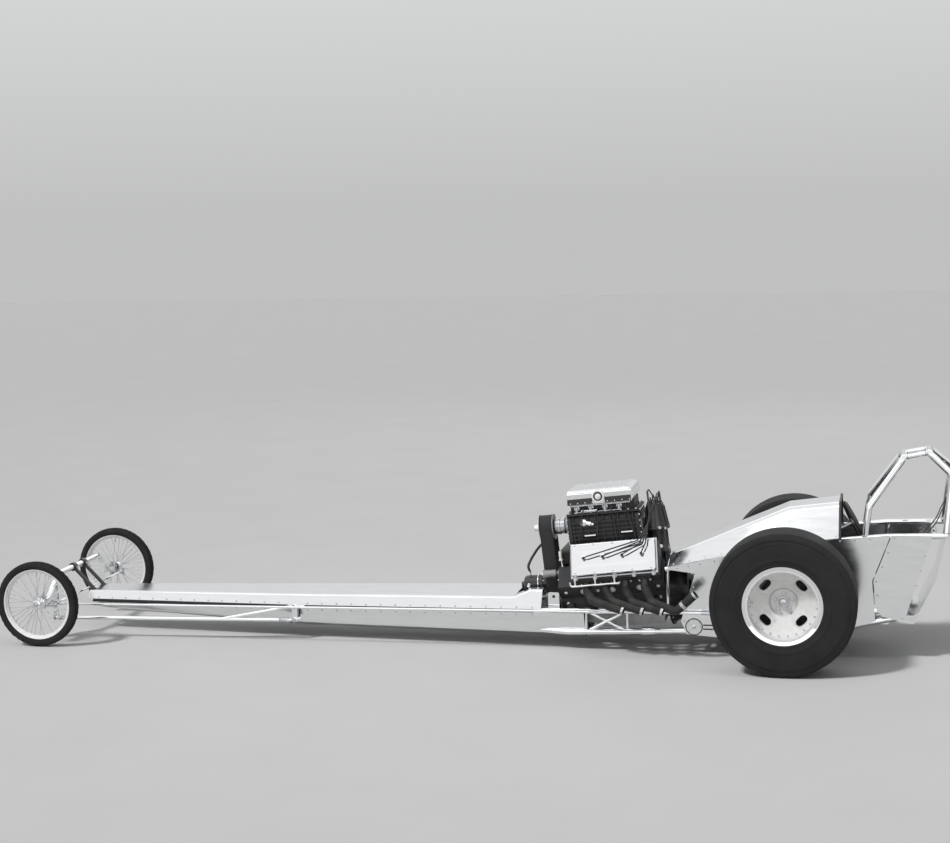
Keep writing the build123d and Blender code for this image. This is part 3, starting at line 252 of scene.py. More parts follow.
def bolt(bm, centre, axis, r, high, washer=True):
    """Adds a bolt head on its washer, standing on centre along axis."""
    if washer:
        disc(bm, r * 1.5, -0.5, 1.0, centre, axis, 16)
    turned(bm, [(0, 1.0), (r, 1.0), (r, high - 0.8), (r * 0.86, high), (0, high)], centre, axis, 6)


def rivet(bm, centre, axis, r, high, steps=14):
    """Adds a domed fastener."""
    turned(bm, [(0, -0.4), (r, -0.4), (r, high * 0.3), (r * 0.75, high * 0.8), (0, high)], centre,
           axis, steps)


def evenly(a, b, count):
    """Evenly spaced values or points from a to b, both ends among them."""
    return [a + (b - a) * (i / (count - 1)) for i in range(count)]


def smooth(points, steps):
    """Points along a smooth line through the given ones, each with the direction there."""
    ends = [points[0] * 2 - points[1], *points, points[-1] * 2 - points[-2]]
    line = []
    for p0, p1, p2, p3 in zip(ends, ends[1:], ends[2:], ends[3:]):
        for t in (i / steps for i in range(steps)):
            line.append(0.5 * (2 * p1 + (p2 - p0) * t + (2 * p0 - 5 * p1 + 4 * p2 - p3) * t ** 2
                               + (3 * p1 - p0 - 3 * p2 + p3) * t ** 3))
    line.append(points[-1])
    ahead = [b - a for a, b in zip(line[:1] + line, line[1:] + line[-1:])]
    return [(point, way.normalized()) for point, way in zip(line, ahead)]


def tube(bm, points, r, sides=10, steps=6):
    """Adds a round tube along a smooth line through the points."""
    line = smooth(points, steps)
    side = line[0][1].orthogonal().normalized()
    rows = []
    for point, ahead in line:
        side = (side - ahead * side.dot(ahead)).normalized()
        other = ahead.cross(side)
        rows.append([bm.verts.new(point + (side * c + other * s) * (r / 1000)) for c, s in circle(sides)])
    bridge(bm, rows, closed=False)


def band(bm, points, across, width, thick, steps=1):
    """Adds a flat band along a smooth line; across gives its width's direction."""
    half = across.normalized() * (width / 2000)
    rows = []
    for point, ahead in smooth(points, steps):
        out = ahead.cross(half).normalized() * (thick / 2000)
        rows.append([bm.verts.new(point + h + o) for h, o in
                     ((-half, -out), (half, -out), (half, out), (-half, out))])
    bridge(bm, rows, closed=False)


def prism(bm, outline, depth):
    """Adds a plate: outline is a loop of points, and depth the vector to its other face."""
    bridge(bm, [[bm.verts.new(p + shift) for p in outline] for shift in (Vector(), depth)], closed=False)


def both_sides(half):
    """A loop of (y, z) from its left half."""
    return half + [(-y, z) for y, z in half[::-1]]


# Wheels: each row is a side's name, its sign in Y and the wheel's centre
FRONT = [(name, side, at(WHEELBASE, side * 575, 268)) for name, side in SIDES]
REAR = [(name, side, at(0, side * 585, REAR_Z)) for name, side in SIDES]


def mirrored(outer, inner):
    """A wheel's closed section from the halves of its outer and inner lines."""
    section = outer + [(r, -h) for r, h in outer[::-1] if h]
    return section + [(r, -h) for r, h in inner[::-1]] + inner[1:]


def tread(piece):
    """Gives a tyre's rolling face its darker rubber."""
    piece.data.materials.append(TREAD)
    for face in piece.data.polygons:
        face.material_index = int(abs(face.normal.y) < 0.6)
    return piece


def front_tyre(name, side, centre):
    """The ribbed front tyre."""
    outer = [(212.6, 13.5), (214, 16.5), (218, 20.5), (222, 23.6), (224, 24.2), (226, 25.6),
             (233, 29), (240, 30.6), (243, 31), (244.5, 31.6), (247, 31.6), (248.5, 30.8),
             (254, 30), (259, 28.2), (262.3, 26.6), (264.2, 24.6), (265.4, 22), (265.9, 17.6),
             (263, 17), (263, 14.6), (266.6, 14), (267.2, 9.4), (264.2, 8.8), (264.2, 6.4),
             (267.4, 5.8), (267.7, 1.6), (265.2, 1.2)]
    inner = [(258, 0), (256, 18), (246, 23), (232, 21), (216, 8)]
    notches = 84
    bm = bmesh.new()
    turned(bm, mirrored(outer, inner), centre, (0, side, 0), notches * 2)
    for vert in bm.verts:
        off = vert.co - centre
        r = hypot(off.x, off.z) * 1000
        step = int((atan2(off.z, off.x) / (2 * pi) * notches) % notches)
        if 262 < r < 265.95 and abs(off.y) > 0.0215 and step % 2:
            vert.co -= Vector((off.x, 0, off.z)).normalized() * 0.0028
    tyre = tread(add("front_tread_" + name, bm, "tyre", "front_wheel_" + name, angle=28))
    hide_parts("front_tyre_" + name)


def wire_wheel(name, side, centre):
    """The front wheel: rolled hoop, turned hub and forty laced spokes with their nipples."""
    axle, body = Y * side, "front_wheel_" + name
    outer = [(222, 23), (222.2, 21.2), (221, 20), (214.5, 19.4), (212.3, 18), (212, 10),
             (206, 7.5), (204.6, 5), (204.4, 0)]
    inner = [(200.8, 0), (200.8, 7), (202.6, 9.6), (208, 11), (210, 17), (214, 21), (218.6, 23.2),
             (220.8, 23.6)]
    bm = bmesh.new()
    turned(bm, mirrored(outer, inner), centre, axle, 128)
    add("front_hoop_" + name, bm, "magnesium", body, 40)
    turned(bm, [(11, 25.6), (15, 26), (17.5, 24.6), (25, 22.6), (26.4, 21.4), (26.4, 18.4),
                (25, 17), (20.5, 14), (19, 8), (19.4, -4), (22, -13), (25, -17.4), (33, -20.2),
                (34.4, -21.4), (34.4, -24.4), (33, -25.8), (18, -26), (11, -26)], centre, axle, 48)
    add("front_hub_" + name, bm, "chrome", body, 40)
    spokes = 40
    for i in range(spokes):
        angle = 2 * pi * i / spokes
        swept = angle + radians(26) * (1 if i % 4 < 2 else -1)
        flip, r, h = (1, 0.0235, 0.0198) if i % 2 else (-1, 0.031, -0.023)
        start = centre + Vector((cos(swept), 0, sin(swept))) * r + axle * h
        end = centre + Vector((cos(angle), 0, sin(angle))) * 0.2016 + axle * (0.004 * flip)
        along = (end - start).normalized()
        bar(bm, start, end, 1.6, 8)
        bar(bm, end - along * 0.014, end + along * 0.001, 3.0, 8)
        rivet(bm, start + axle * (0.0012 * flip), axle * flip, 3.2, 2.0, 10)
    wheel = add("wire_wheel_" + name, bm, "steel", body, 40)
    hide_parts("front_rim_" + name)
    turned(bm, [(0, 37), (6, 36.6), (11, 34.6), (13.4, 31), (13.8, 27), (17, 26.6), (17, 25.8),
                (0, 25.8)], centre, axle, 32)
    turned(bm, [(0, 39.4), (4, 39.4), (4.6, 36), (0, 36)], centre, axle, 6)
    stem = centre + axle * 0.002 + Z * 0.2
    bar(bm, stem, stem - Z * 0.022, 2.6, 10)
    bar(bm, stem - Z * 0.022, stem - Z * 0.03, 3.6, 10)
    add("hub_cap_front_" + name, bm, "steel", body)


def rear_tyre(name, side, centre):
    """The wide rear slick with its moulded sidewall rings and ridged shoulder."""
    outer = [(203.6, 102), (204.6, 107), (208, 111), (213, 113.6), (219, 115.2), (222, 118),
             (228, 123), (231, 124.2), (233, 126.2), (236, 126.4), (238, 125.6), (248, 129.2),
             (262, 131.8), (264, 133), (266, 133), (268, 132.2), (285, 134), (305, 134.9),
             (325, 134.8), (345, 133.6), (352, 133), (354, 134), (357, 133.8), (359, 132.2),
             (368, 130.6), (374, 129), (375.5, 132.2), (379, 132.4), (388, 129.8), (396, 126),
             (402, 121.6), (405.6, 117), (407.6, 112.6), (408.6, 104), (409.2, 90), (409.6, 70),
             (409.8, 45), (409.9, 20), (410, 0)]
    inner = [(396, 0), (396, 90), (390, 112), (370, 120), (320, 122), (260, 118), (216, 98), (206, 92)]
    steps = 144
    bm = bmesh.new()
    turned(bm, mirrored(outer, inner), centre, (0, side, 0), steps)
    for vert in bm.verts:
        off = vert.co - centre
        step = round(atan2(off.z, off.x) / (2 * pi) * steps)
        if 375 < hypot(off.x, off.z) * 1000 < 396.5 and abs(off.y) > 0.125 and step % 3 == 0:
            vert.co.y -= copysign(0.0016, off.y)
    tyre = tread(add("slick_" + name, bm, "tyre", "rear_wheel_" + name, angle=28))
    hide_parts("rear_tyre_" + name)


def rear_wheel_trim(name, side, centre):
    """The polished rims, hub cap, lug nuts and valve of a rear wheel."""
    axle = Y * side
    lip = [(229.2, 112), (231, 112.6), (231.4, 117), (230, 120.4), (226.6, 121), (223.4, 119.4),
           (221, 118.3), (204, 118.3), (199, 116), (194.7, 110), (194.7, 100), (197, 100),
           (201, 112), (205, 115), (222, 115.4)]
    bm = bmesh.new()
    for flip in (1, -1):
        turned(bm, [(r, h * flip) for r, h in lip], centre, axle, 128)
    add("rim_lips_" + name, bm, "chrome", "rear_wheel_" + name, 40)
    turned(bm, [(0, 24), (14, 23.4), (22, 20), (25.4, 15), (26.6, 9), (29.6, 8.4), (30.4, -8.4),
                (0, -8.4)], centre, axle, 48)
    turned(bm, [(0, 28), (6, 28), (7, 22), (0, 22)], centre, axle, 6)
    for c, s in circle(5, 0.25):
        spot = centre + Vector((c, 0, s)) * 0.051 - axle * 0.008
        disc(bm, 14, -0.4, 2, spot, axle, 20)
        turned(bm, [(0, 2), (11, 2), (11, 14), (9.4, 18), (5.2, 18.4), (5, 24), (0, 24.4)], spot, axle, 6)
    for c, s in circle(24, 0.5):
        bolt(bm, centre + Vector((c, 0, s)) * 0.188 + axle * 0.0372, axle, 3.6, 4.6)
    stem = centre + X * 0.17 + axle * 0.028
    bend = stem + axle * 0.024 + X * 0.004
    bar(bm, stem, bend, 3.4)
    bar(bm, bend, stem + axle * 0.036 + X * 0.006, 4.6)
    add("lug_nuts_" + name, bm, "steel", "rear_wheel_" + name)


def wheel_windows(name, side, centre):
    """The rounded, rolled frames of the four windows in a rear wheel's dish."""
    rim = [(0, -12), (0, 2.6), (0.07, 4.6), (0.2, 4.4), (0.3, 1.8), (0.95, 1.5), (1, 0.6),
           (1, -0.8), (0.3, -0.8)]
    bm = bmesh.new()

    def dish(r):
        """How far out the dish stands at a radius."""
        return 4 + (r - 84) * 18 / 66 if r < 150 else 22 + (r - 150) * 18 / 49

    def rounded(c, s, middle, long, wide, bend):
        """A point of a window's outline: outwards from the hub, and across."""
        return Vector((middle + long * copysign(abs(s) ** bend, s),
                       wide * copysign(abs(c) ** bend, c)))

    for x, z in circle(4, 0.5):
        out, along = Vector((x, 0, z)), Vector((-z, 0, x))
        rows = []
        for c, s in circle(56):
            inner, outer = rounded(c, s, 142, 22, 37, 0.77), rounded(c, s, 137, 44, 54, 0.62)
            row = []
            for share, lift in rim:
                p = inner.lerp(outer, share)
                up = Y * (side * (dish(p.length) + lift))
                row.append(bm.verts.new(centre + (out * p.x + along * p.y + up) / 1000))
            rows.append(row)
        bridge(bm, rows)
    piece = add("wheel_windows_" + name, bm, "magnesium", "rear_wheel_" + name, 40)
    piece.data.materials[0] = WHEEL


# Front axle hardware
def knuckle_hardware(name, side):
    """The nuts on a knuckle's kingpin and arms, and its flange bolts."""
    nuts = [(0, KINGPIN_Y, 300, 1, 13, 12), (0, KINGPIN_Y, 236, -1, 13, 12),
            (-80, KINGPIN_Y, 266, 1, 8, 8), (-80, KINGPIN_Y, 236, -1, 8, 7)]
    if side > 0:
        nuts += [(0, 390, 217.2, -1, 8, 7), (0, 390, 246, 1, 8, 7)]
    bm = bmesh.new()
    for x, y, z, up, r, high in nuts:
        bolt(bm, at(WHEELBASE + x, side * y, z), Z * up, r, high)
    top = at(WHEELBASE, side * KINGPIN_Y, 300)
    bar(bm, top + Z * 0.01, top + Z * 0.019, 6)
    for z in (252, 284):
        for x in (-11, 11):
            bolt(bm, at(WHEELBASE + x, side * 533, z), (0, side, 0), 5, 5)
    add("knuckle_nuts_" + name, bm, "steel", "knuckle_%s_body" % name)


def jam_nuts(name, body, a, b, r):
    """The jam nuts and threads behind the eyes at both ends of a rod."""
    bm = bmesh.new()
    for start, way in ((a, b - a), (b, a - b)):
        disc(bm, r * 1.5, 15, 24, start, way, 6)
        turned(bm, [(0, 24), (r * 1.25, 24), (r * 1.25, 60), (r, 66), (0, 66)], start, way, 20)
        for h in range(5):
            turned(bm, [(0, 9 + h * 1.4), (r * 1.1, 9.4 + h * 1.4), (0, 10.2 + h * 1.4)], start, way, 16)
    add(name, bm, "steel", body)


def axle_hardware():
    """The axle's weld beads, bracket bolts and perch clamps."""
    bm = bmesh.new()
    for side in (1, -1):
        for z in (246, 290):
            turned(bm, [(19, -2), (21.8, 0), (19, 2)], at(WHEELBASE, side * KINGPIN_Y, z), Z, 32)
        bolt(bm, at(WHEELBASE, side * 358.3, 130), (0, side, 0), 10, 9)
        bolt(bm, at(WHEELBASE, side * 335.9, 130), (0, -side, 0), 10, 8)
        for x in (-14, 14):
            bolt(bm, at(WHEELBASE + x, side * 344, 330), (0, side, 0), 4.5, 4)
        for way in (-1, 1):
            for y in (60, 80):
                bolt(bm, at(WHEELBASE + 31 * way, side * y, 400), X * way, 5, 5)
        for z in (130, 215):
            bolt(bm, at(ROD_BRACKET_X, side * 239.3, z), (0, side, 0), 9, 8)
        rear, front = at(ROD_BRACKET_X + 22, side * 232.3, 130), at(WHEELBASE, side * 351.3, 130)
        along = (front - rear).normalized()
        for spot, way in ((rear, along), (front - along * 0.004, -along)):
            disc(bm, 17, 14, 25, spot, way, 6)
            turned(bm, [(0, 25), (14.5, 25), (14.5, 70), (12, 76), (0, 76)], spot, way, 24)
        high = at(ROD_BRACKET_X + 22, side * 232.3, 215)
        disc(bm, 14, 6, 15, high, rear + (front - rear) * 0.3 - high, 6)
    add("axle_bolts", bm, "steel")


# Engine, in the engine's frame
COVER_UP = (-0.4555, 0.8903)
COVER_OUT = (0.8903, 0.4555)
COVER_FACE = 38.3


def cover_point(side, u, v, n):
    """A point on a valve cover: along it, up it and out from the head, in millimetres."""
    return eng(-360 + u, side * (236 + v * COVER_UP[0] + n * COVER_OUT[0]),
               276 + v * COVER_UP[1] + n * COVER_OUT[1])


def cover_trim(name, side):
    """The flange, nuts, plug wells and ribs of a valve cover."""
    axis, up = splay(side, *COVER_OUT), splay(side, *COVER_UP)
    bm = bmesh.new()
    for v in (-84, 84):
        for u in (-228, -114, 0, 114, 228):
            spot = cover_point(side, u, v, COVER_FACE)
            disc(bm, 10.5, -0.4, 1.6, spot, axis, 24)
            turned(bm, [(0, 1.6), (7, 1.6), (7, 7), (5.4, 10), (2.6, 11.6), (0, 12)], spot, axis, 6)
    for u in (174, 58, -58, -174):
        turned(bm, [(13, -0.4), (21, -0.4), (20.4, 2.4), (17, 3.4), (13.4, 2.6)],
               cover_point(side, u, 0, COVER_FACE), axis, 32)
    add("cover_nuts_" + name, bm, "chrome")
    for v in (-42, 42):
        ends = [cover_point(side, u, v, COVER_FACE) for u in (-212, 212)]
        for shift in (-0.006, 0, 0.006):
            band(bm, [end + up * shift for end in ends], axis.cross(ENG_X), 2.2, 2.2)
    add("cover_ribs_" + name, bm, "chrome")
    edge = [(-262, -107), (262, -107), (262, 107), (-262, 107)]
    prism(bm, [cover_point(side, u, v, 0.4) for u, v in edge], axis * 0.0036)
    add("cover_gasket_" + name, bm, "steel", angle=None)


def head_trim(name, side):
    """Bolts and plugs of a head and the block's side, with the header flanges' bolts."""
    bm = bmesh.new()
    for x in (-125, -243, -360, -477, -595):
        bolt(bm, eng(x, side * 284, 179), splay(side, 0.94, 0.342), 8.5, 9)
    down = splay(side, 0.604, -0.797)
    for x in CYLINDERS:
        for shift in (-31.5, 31.5):
            bolt(bm, eng(x + shift, side * 259, 146) + down * 0.0084, down, 6, 7)
    add("head_bolts_" + name, bm, "magnesium")
    face = splay(side, 0.821, -0.571)
    for x in (-150, -320, -490):
        turned(bm, [(0, 1.2), (15, 1.2), (18, -0.5), (20.4, 0.8), (21.6, 2.4), (22.4, -0.4), (0, -0.4)],
               eng(x, side * 202, 84), face, 32)
    for x in (-40, -235, -405, -600):
        bolt(bm, eng(x, side * 202, 84), face, 7, 7)
        bolt(bm, eng(x, side * 172.5, 10), splay(side, 1, -0.06), 7, 7)
    for x in range(-620, -10, 47):
        bolt(bm, eng(x, side * 148, -30), -ENG_Z, 5, 5)
    add("block_plugs_" + name, bm, "magnesium")


def header_trim(name, side):
    """The bright open tips and the weld beads of one side's exhaust pipes."""
    bm, beads = bmesh.new(), bmesh.new()
    down = splay(side, 0.604, -0.797)
    for x in CYLINDERS:
        foot = (eng(x, 0, 146 - 3 * 0.797).x - REAR_X) * 1000
        before, tip = at(foot - 60, side * 425, 350), at(foot - 245, side * 452, 300)
        if x == CYLINDERS[-1]:
            before, tip = at(foot - 205, side * 455, 306), at(foot - 320, side * 460, 412)
        along = (tip - before).normalized()
        turned(bm, [(22.2, -14), (25.5, -14), (26.4, -13), (26.8, -1), (26.4, 0.8), (24, 1.2),
                    (22, 0.4)], tip, along, 40)
        if x == CYLINDERS[-1]:
            clamp = tip - along * 0.098
            turned(bm, [(24.8, -10), (27.4, -9.4), (27.4, 9.4), (24.8, 10)], clamp, along, 40)
            bolt(bm, clamp + Y * (side * 0.0272), (0, side, 0), 6, 9)
        turned(beads, [(24.8, -2), (26.6, -1.6), (28.6, 0), (27, 1.8), (24.8, 3.6)],
               eng(x, side * 265.04, 138.03), down, 36)
        turned(beads, [(25, -2.2), (26.4, -1.4), (26.8, 0), (26.4, 1.4), (25, 2.2)],
               tip - along * 0.06, along, 36)
    add("header_tips_" + name, bm, "steel")
    add("header_welds_" + name, beads, "header_black")


def blower_trim():
    """The blower's studs, end plate bolts, bearing covers and side ribs."""
    bm = bmesh.new()
    for side in (1, -1):
        for i in range(10):
            x = -98 - 45.6 * i
            bolt(bm, eng(x, side * 129, 344), ENG_Z, 5.6, 9)
            bar(bm, eng(x, side * 129, 344), eng(x, side * 129, 357), 3, 10)
            bolt(bm, eng(x, side * 124, 545), ENG_Z, 5.6, 8)
        spots = [(127, z) for z in (366, 402, 438, 474, 510)]
        spots += [(y, z) for y in (30, 78) for z in (349, 532)]
        for face, way in ((-85, 1), (-523, -1)):
            for y, z in spots:
                bolt(bm, eng(face, side * y, z), ENG_X * way, 4.6, 5)
    add("blower_bolts", bm, "chrome")
    nose, bearing_z = eng(-85, 0, PULLEY_Z), 437
    for y in (-58, 58):
        turned(bm, [(0, 9), (30, 9), (36, 7), (39, 3), (44, 2.4), (50, 2), (50, -0.4), (0, -0.4)],
               eng(-523, y, bearing_z), -ENG_X, 48)
        for c, s in circle(6):
            bolt(bm, eng(-525.2, y + 46 * c, bearing_z + 46 * s), -ENG_X, 3.6, 4)
    turned(bm, [(46, 0), (74, 0), (74, 7), (70, 9), (54, 11), (52, 30), (46, 34)], nose, ENG_X, 56)
    for c, s in circle(8, 0.5):
        bolt(bm, eng(-78, 64 * c, PULLEY_Z + 64 * s), ENG_X, 4.6, 5)
    add("blower_covers", bm, "cast_aluminium")
    turned(bm, [(46.2, 36), (50, 36), (51, 38), (51, 44), (48.4, 46), (48.4, 64), (52.4, 66),
                (52.4, 80), (50, 82), (48, 98), (46.2, 98)], nose, ENG_X, 56)
    for c, s in circle(6):
        bolt(bm, eng(-12, 52 * c, PULLEY_Z + 52 * s), splay(1, c, s), 3.4, 4)
    add("snout_sleeve", bm, "steel")
    for side in (1, -1):
        for i in range(9):
            x = -122 - 45.6 * i
            outline = [(x - 3, 350), (x + 3, 350), (x + 3, 528), (x - 3, 528)]
            prism(bm, [eng(a, side * 121, z) for a, z in outline], Y * (side * 0.0125))
    add("blower_ribs", bm, "cast_iron", angle=None)


def drive_trim():
    """Bolts, hubs and adapter of the pulleys and the roller, and the block's front plate."""
    top = eng(109, 0, PULLEY_Z)
    bm = bmesh.new()
    for face, r, bolts in ((top, 66, 8), (eng(109, 0, 0), 70, 6)):
        turned(bm, [(28, -0.5), (r + 10, -0.5), (r + 10, 1.6), (r - 2, 2.2), (r - 6, 0.8),
                    (44, 0.8), (42, 4), (28, 4.4)], face, ENG_X, 72)
        for c, s in circle(bolts):
            bolt(bm, face + splay(1, c, s) * 0.035 + ENG_X * 0.004, ENG_X, 4.6, 5)
    turned(bm, [(0, 26), (10, 25), (14, 20), (15, 12), (28, 10), (30, 4), (30, -0.5), (0, -0.5)],
           top, ENG_X, 40)
    turned(bm, [(0, 14), (13, 14), (13, 8), (26, 7), (26, 3.6), (0, 3.6)], eng(109, 0, 0), ENG_X, 6)
    roller = eng(105, 104, 190)
    turned(bm, [(0, 3), (22, 3), (25, 0.6), (25, -0.5), (0, -0.5)], roller, ENG_X, 40)
    bolt(bm, roller + ENG_X * 0.003, ENG_X, 8, 8)
    for y, z in ((90, 108), (118, 108), (90, 150), (118, 150)):
        bolt(bm, eng(12, y, z), ENG_X, 5.5, 5.5)
    add("pulley_bolts", bm, "chrome")
    turned(bm, [(0, 40), (15, 40), (18, 37), (18, 24), (22, 22), (22, 4.6), (0, 4.6)], top, ENG_X, 40)
    turned(bm, [(0, 52), (8, 52), (10, 50), (10, 6), (13, 4), (13, -4), (0, -4)],
           eng(-21, 141, 276), ENG_Z, 24)
    bar(bm, eng(-21, 132, 306), eng(-21, 160, 306), 7, 16)
    add("front_fittings", bm, "magnesium")
    outline = [(-96, -26), (96, -26), (118, 40), (74, 86), (70, 172), (52, 184), (-70, 184),
               (-118, 100), (-118, 40)]
    prism(bm, [eng(0.4, y, z) for y, z in outline], ENG_X * 0.011)
    for y, z in ((-88, -14), (-44, -18), (44, -18), (88, -14), (106, 42), (-108, 42), (-106, 96),
                 (-62, 172), (0, 174)):
        bolt(bm, eng(11.4, y, z), ENG_X, 5, 5)
    add("front_cover", bm, "cast_aluminium", angle=None)


def toothed_belt():
    """The blower belt, a loop with moulded teeth inside and fine ridges outside."""
    low, high = 70.0, 66.0
    lean = asin((low - high) / PULLEY_Z)
    loop = []

    def arc(z, r, start, end, count):
        """Adds the belt's run round a pulley, as points with their outward directions."""
        for i in range(count):
            a = start + (end - start) * i / count
            loop.append((r * cos(a), z + r * sin(a), cos(a), sin(a)))

    def run(z0, r0, z1, r1, c, s, count):
        """Adds a straight run from one pulley's radius to the other's."""
        for i in range(count):
            r = r0 + (r1 - r0) * i / count
            loop.append((c * r, z0 + s * r0 + (z1 + s * r1 - z0 - s * r0) * i / count, c, s))

    arc(PULLEY_Z, high, lean, pi - lean, 66)
    run(PULLEY_Z, high, 0, low, -cos(lean), sin(lean), 145)
    arc(0, low, pi - lean, 2 * pi + lean, 72)
    run(0, low, PULLEY_Z, high, cos(lean), sin(lean), 145)
    bm = bmesh.new()
    rows = []
    for i, (y, z, ny, nz) in enumerate(loop):
        root, back = (3.6, 7.7) if i % 4 < 2 else (0.7, 7.3)
        rows.append([bm.verts.new(eng(x, y + ny * d, z + nz * d))
                     for x, d in ((25.6, root), (25.6, back - 0.6), (26.6, back), (103.4, back),
                                  (104.4, back - 0.6), (104.4, root))])
    bridge(bm, rows)
    belt = add("toothed_belt", bm, "belt_rubber", angle=50)
    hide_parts("drive_belt")


def scoop_trim():
    """The scoop's mouth rings and fasteners, its black bands of painted shade and its round bosses."""
    bm = bmesh.new()
    for y in (-92, 0, 92):
        turned(bm, [(33.4, 0.5), (36, 2.4), (39.4, 2.2), (41, 0), (41, -2), (33.4, -2)],
               eng(-100.6, y, 643.4), ENG_X + ENG_Z * 0.16, 48)
        for z in (631, 655):
            bolt(bm, eng(-160.6, y, z), ENG_X, 3, 3)
    for side in (1, -1):
        for i in range(9):
            rivet(bm, eng(-122 - 45 * i, side * 150, 611), Y * side, 4.4, 2.6)
        for i in range(6):
            rivet(bm, eng(-150 - 60 * i, side * 120, 685.9), ENG_Z, 4.4, 2.6)
    for y in (-120, -60, 0, 60, 120):
        rivet(bm, eng(-504, y, 640), -ENG_X, 4.4, 2.6)
    add("scoop_rings", bm, "chrome")
    rings = bmesh.new()
    # Painted shade: black plates low on the scoop's sides and a black ring in each boss, for the shade
    # under its lip.
    for side in (1, -1):
        for a, b, top_a in ((-103, -258, -106), (-332, -491, -332)):
            prism(bm, [eng(x, side * 150.4, z) for x, z in ((a, 602), (b, 602), (b, 637), (top_a, 637))],
                  Y * (side * 0.0016))
        boss = eng(-295, side * 158, 643.5)
        turned(bm, [(17, 0.7), (28, 0.7), (28, -0.2), (17, -0.2)], boss, Y * side, 48)
        turned(rings, [(27.4, -0.2), (28.4, 3), (31, 4.4), (35, 4.4), (37.6, 3), (38, -6), (36, -6),
                       (36, -0.2)], boss, Y * side, 56)
        turned(rings, [(0, 7.4), (14, 7.2), (17.4, 5.4), (18, 4), (0, 4)], boss, Y * side, 40)
    add("scoop_shade_bands", bm, "engine_black", angle=None)
    add("scoop_boss_rings", rings, "magnesium")


def injector_trim():
    """The injector's throttle arms, rails and nozzle lines, and the fuel blocks below."""
    bm = bmesh.new()
    for side in (1, -1):
        out = Y * side
        for x in (-150, -236, -322, -408):
            spot = eng(x, side * 110, 573)
            turned(bm, [(0, 10), (9, 10), (11, 8), (13, 7.4), (17, 6), (18, -0.5), (0, -0.5)], spot,
                   out, 32)
            bar(bm, spot, spot + out * 0.021, 5)
            arm = spot + out * 0.017
            prism(bm, [arm + ENG_X * a + ENG_Z * b for a, b in
                       ((-0.007, 0.004), (0.007, 0.004), (0.004, -0.026), (-0.004, -0.026))],
                  out * 0.003)
            rivet(bm, arm + out * 0.003 - ENG_Z * 0.022, out, 4, 3)
        bar(bm, eng(-134, side * 129, 551), eng(-424, side * 129, 551), 3.2)
        bar(bm, eng(-120, side * 119, 590), eng(-478, side * 119, 590), 6.5, 16)
        for x in (-192, -279, -365, -452):
            bar(bm, eng(x, side * 108, 590), eng(x, side * 121, 590), 4.6)
            disc(bm, 8.4, -4, 4, eng(x, side * 119, 590), ENG_X, 6)
    add("injector_linkage", bm, "steel")
    turned(bm, [(0, 0), (15, 0), (17, 3), (17, 34), (14, 38), (9, 39), (9, 50), (0, 50)],
           eng(-196, 134, 487), -ENG_X * 0.9 - ENG_Z * 0.25, 28)
    turned(bm, [(0, 0), (20, 0), (22, 3), (22, 8), (12, 11), (0, 11)], eng(-183, 123, 487), Y, 36)
    for side in (1, -1):
        bar(bm, eng(-186, side * 131, 560), eng(-270, side * 131, 558), 5.5, 16)
        for x in (-186, -270):
            disc(bm, 8, -6, 6, eng(x, side * 131, 559), ENG_X, 6)
        for x, z, long in ((-186, 408, 66), (-409, 413, 68)):
            spot = eng(x, side * 144, z)
            turned(bm, [(0, 0), (11, 0), (11, 9), (9.4, 10), (9.4, long - 10), (11, long - 9),
                        (11, long), (0, long)], spot, -ENG_X, 8)
            for shift in (0.016, long / 1000 - 0.016):
                disc(bm, 4, -12, 0, spot - ENG_X * shift, Y * side, 10)
    add("fuel_blocks", bm, "chrome")
    for side in (1, -1):
        for x, end in ((-192, -150), (-279, -262), (-365, -378), (-452, -490)):
            route = [(x, 119, 586), (x, 140, 566), ((x + end) / 2, 149, 480), (end, 152, 380),
                     (end, 146, 330)]
            tube(bm, [eng(a, side * y, z) for a, y, z in route], 3.2)
            disc(bm, 7, -6, 4, eng(end, side * 146, 330), ENG_Z, 6)
    add("nozzle_lines", bm, "black_plastic")


def fuel_system():
    """The pump's fittings and the hoses to the injector and along the frame."""
    bm = bmesh.new()
    for spot, way in ((eng(215, -8, 170), ENG_Z), (eng(215, 54, 120), Y), (eng(215, -54, 120), -Y)):
        turned(bm, [(0, -3), (11, -3), (11, 4), (8, 6), (8, 14), (10, 15), (10, 24), (0, 24)], spot,
               way, 6)
    pump_z = 115
    for c, s in circle(6, 0.5):
        bolt(bm, eng(269.3, 13 * c, pump_z + 13 * s), ENG_X, 3, 3)
        bolt(bm, eng(129, 44 * c, pump_z + 44 * s), -ENG_X, 4, 4)
    turned(bm, [(55.2, -3), (57, -2.4), (57.4, 0), (57, 2.4), (55.2, 3)], eng(160, 0, pump_z), ENG_X,
           56)
    add("pump_fittings", bm, "chrome")
    tube(bm, [eng(215, -8, 192), eng(214, -10, 240), eng(150, -96, 330), eng(40, -128, 400),
              eng(-60, -152, 470), eng(-110, -150, 560), eng(-124, -124, 590)], 8, 14, 8)
    tube(bm, [eng(215, -77, 120), eng(216, -112, 112), eng(205, -150, 70), eng(120, -190, 30),
              eng(20, -200, 40), eng(-60, -196, 60)], 9, 14, 8)
    add("fuel_hoses", bm, "black_plastic")


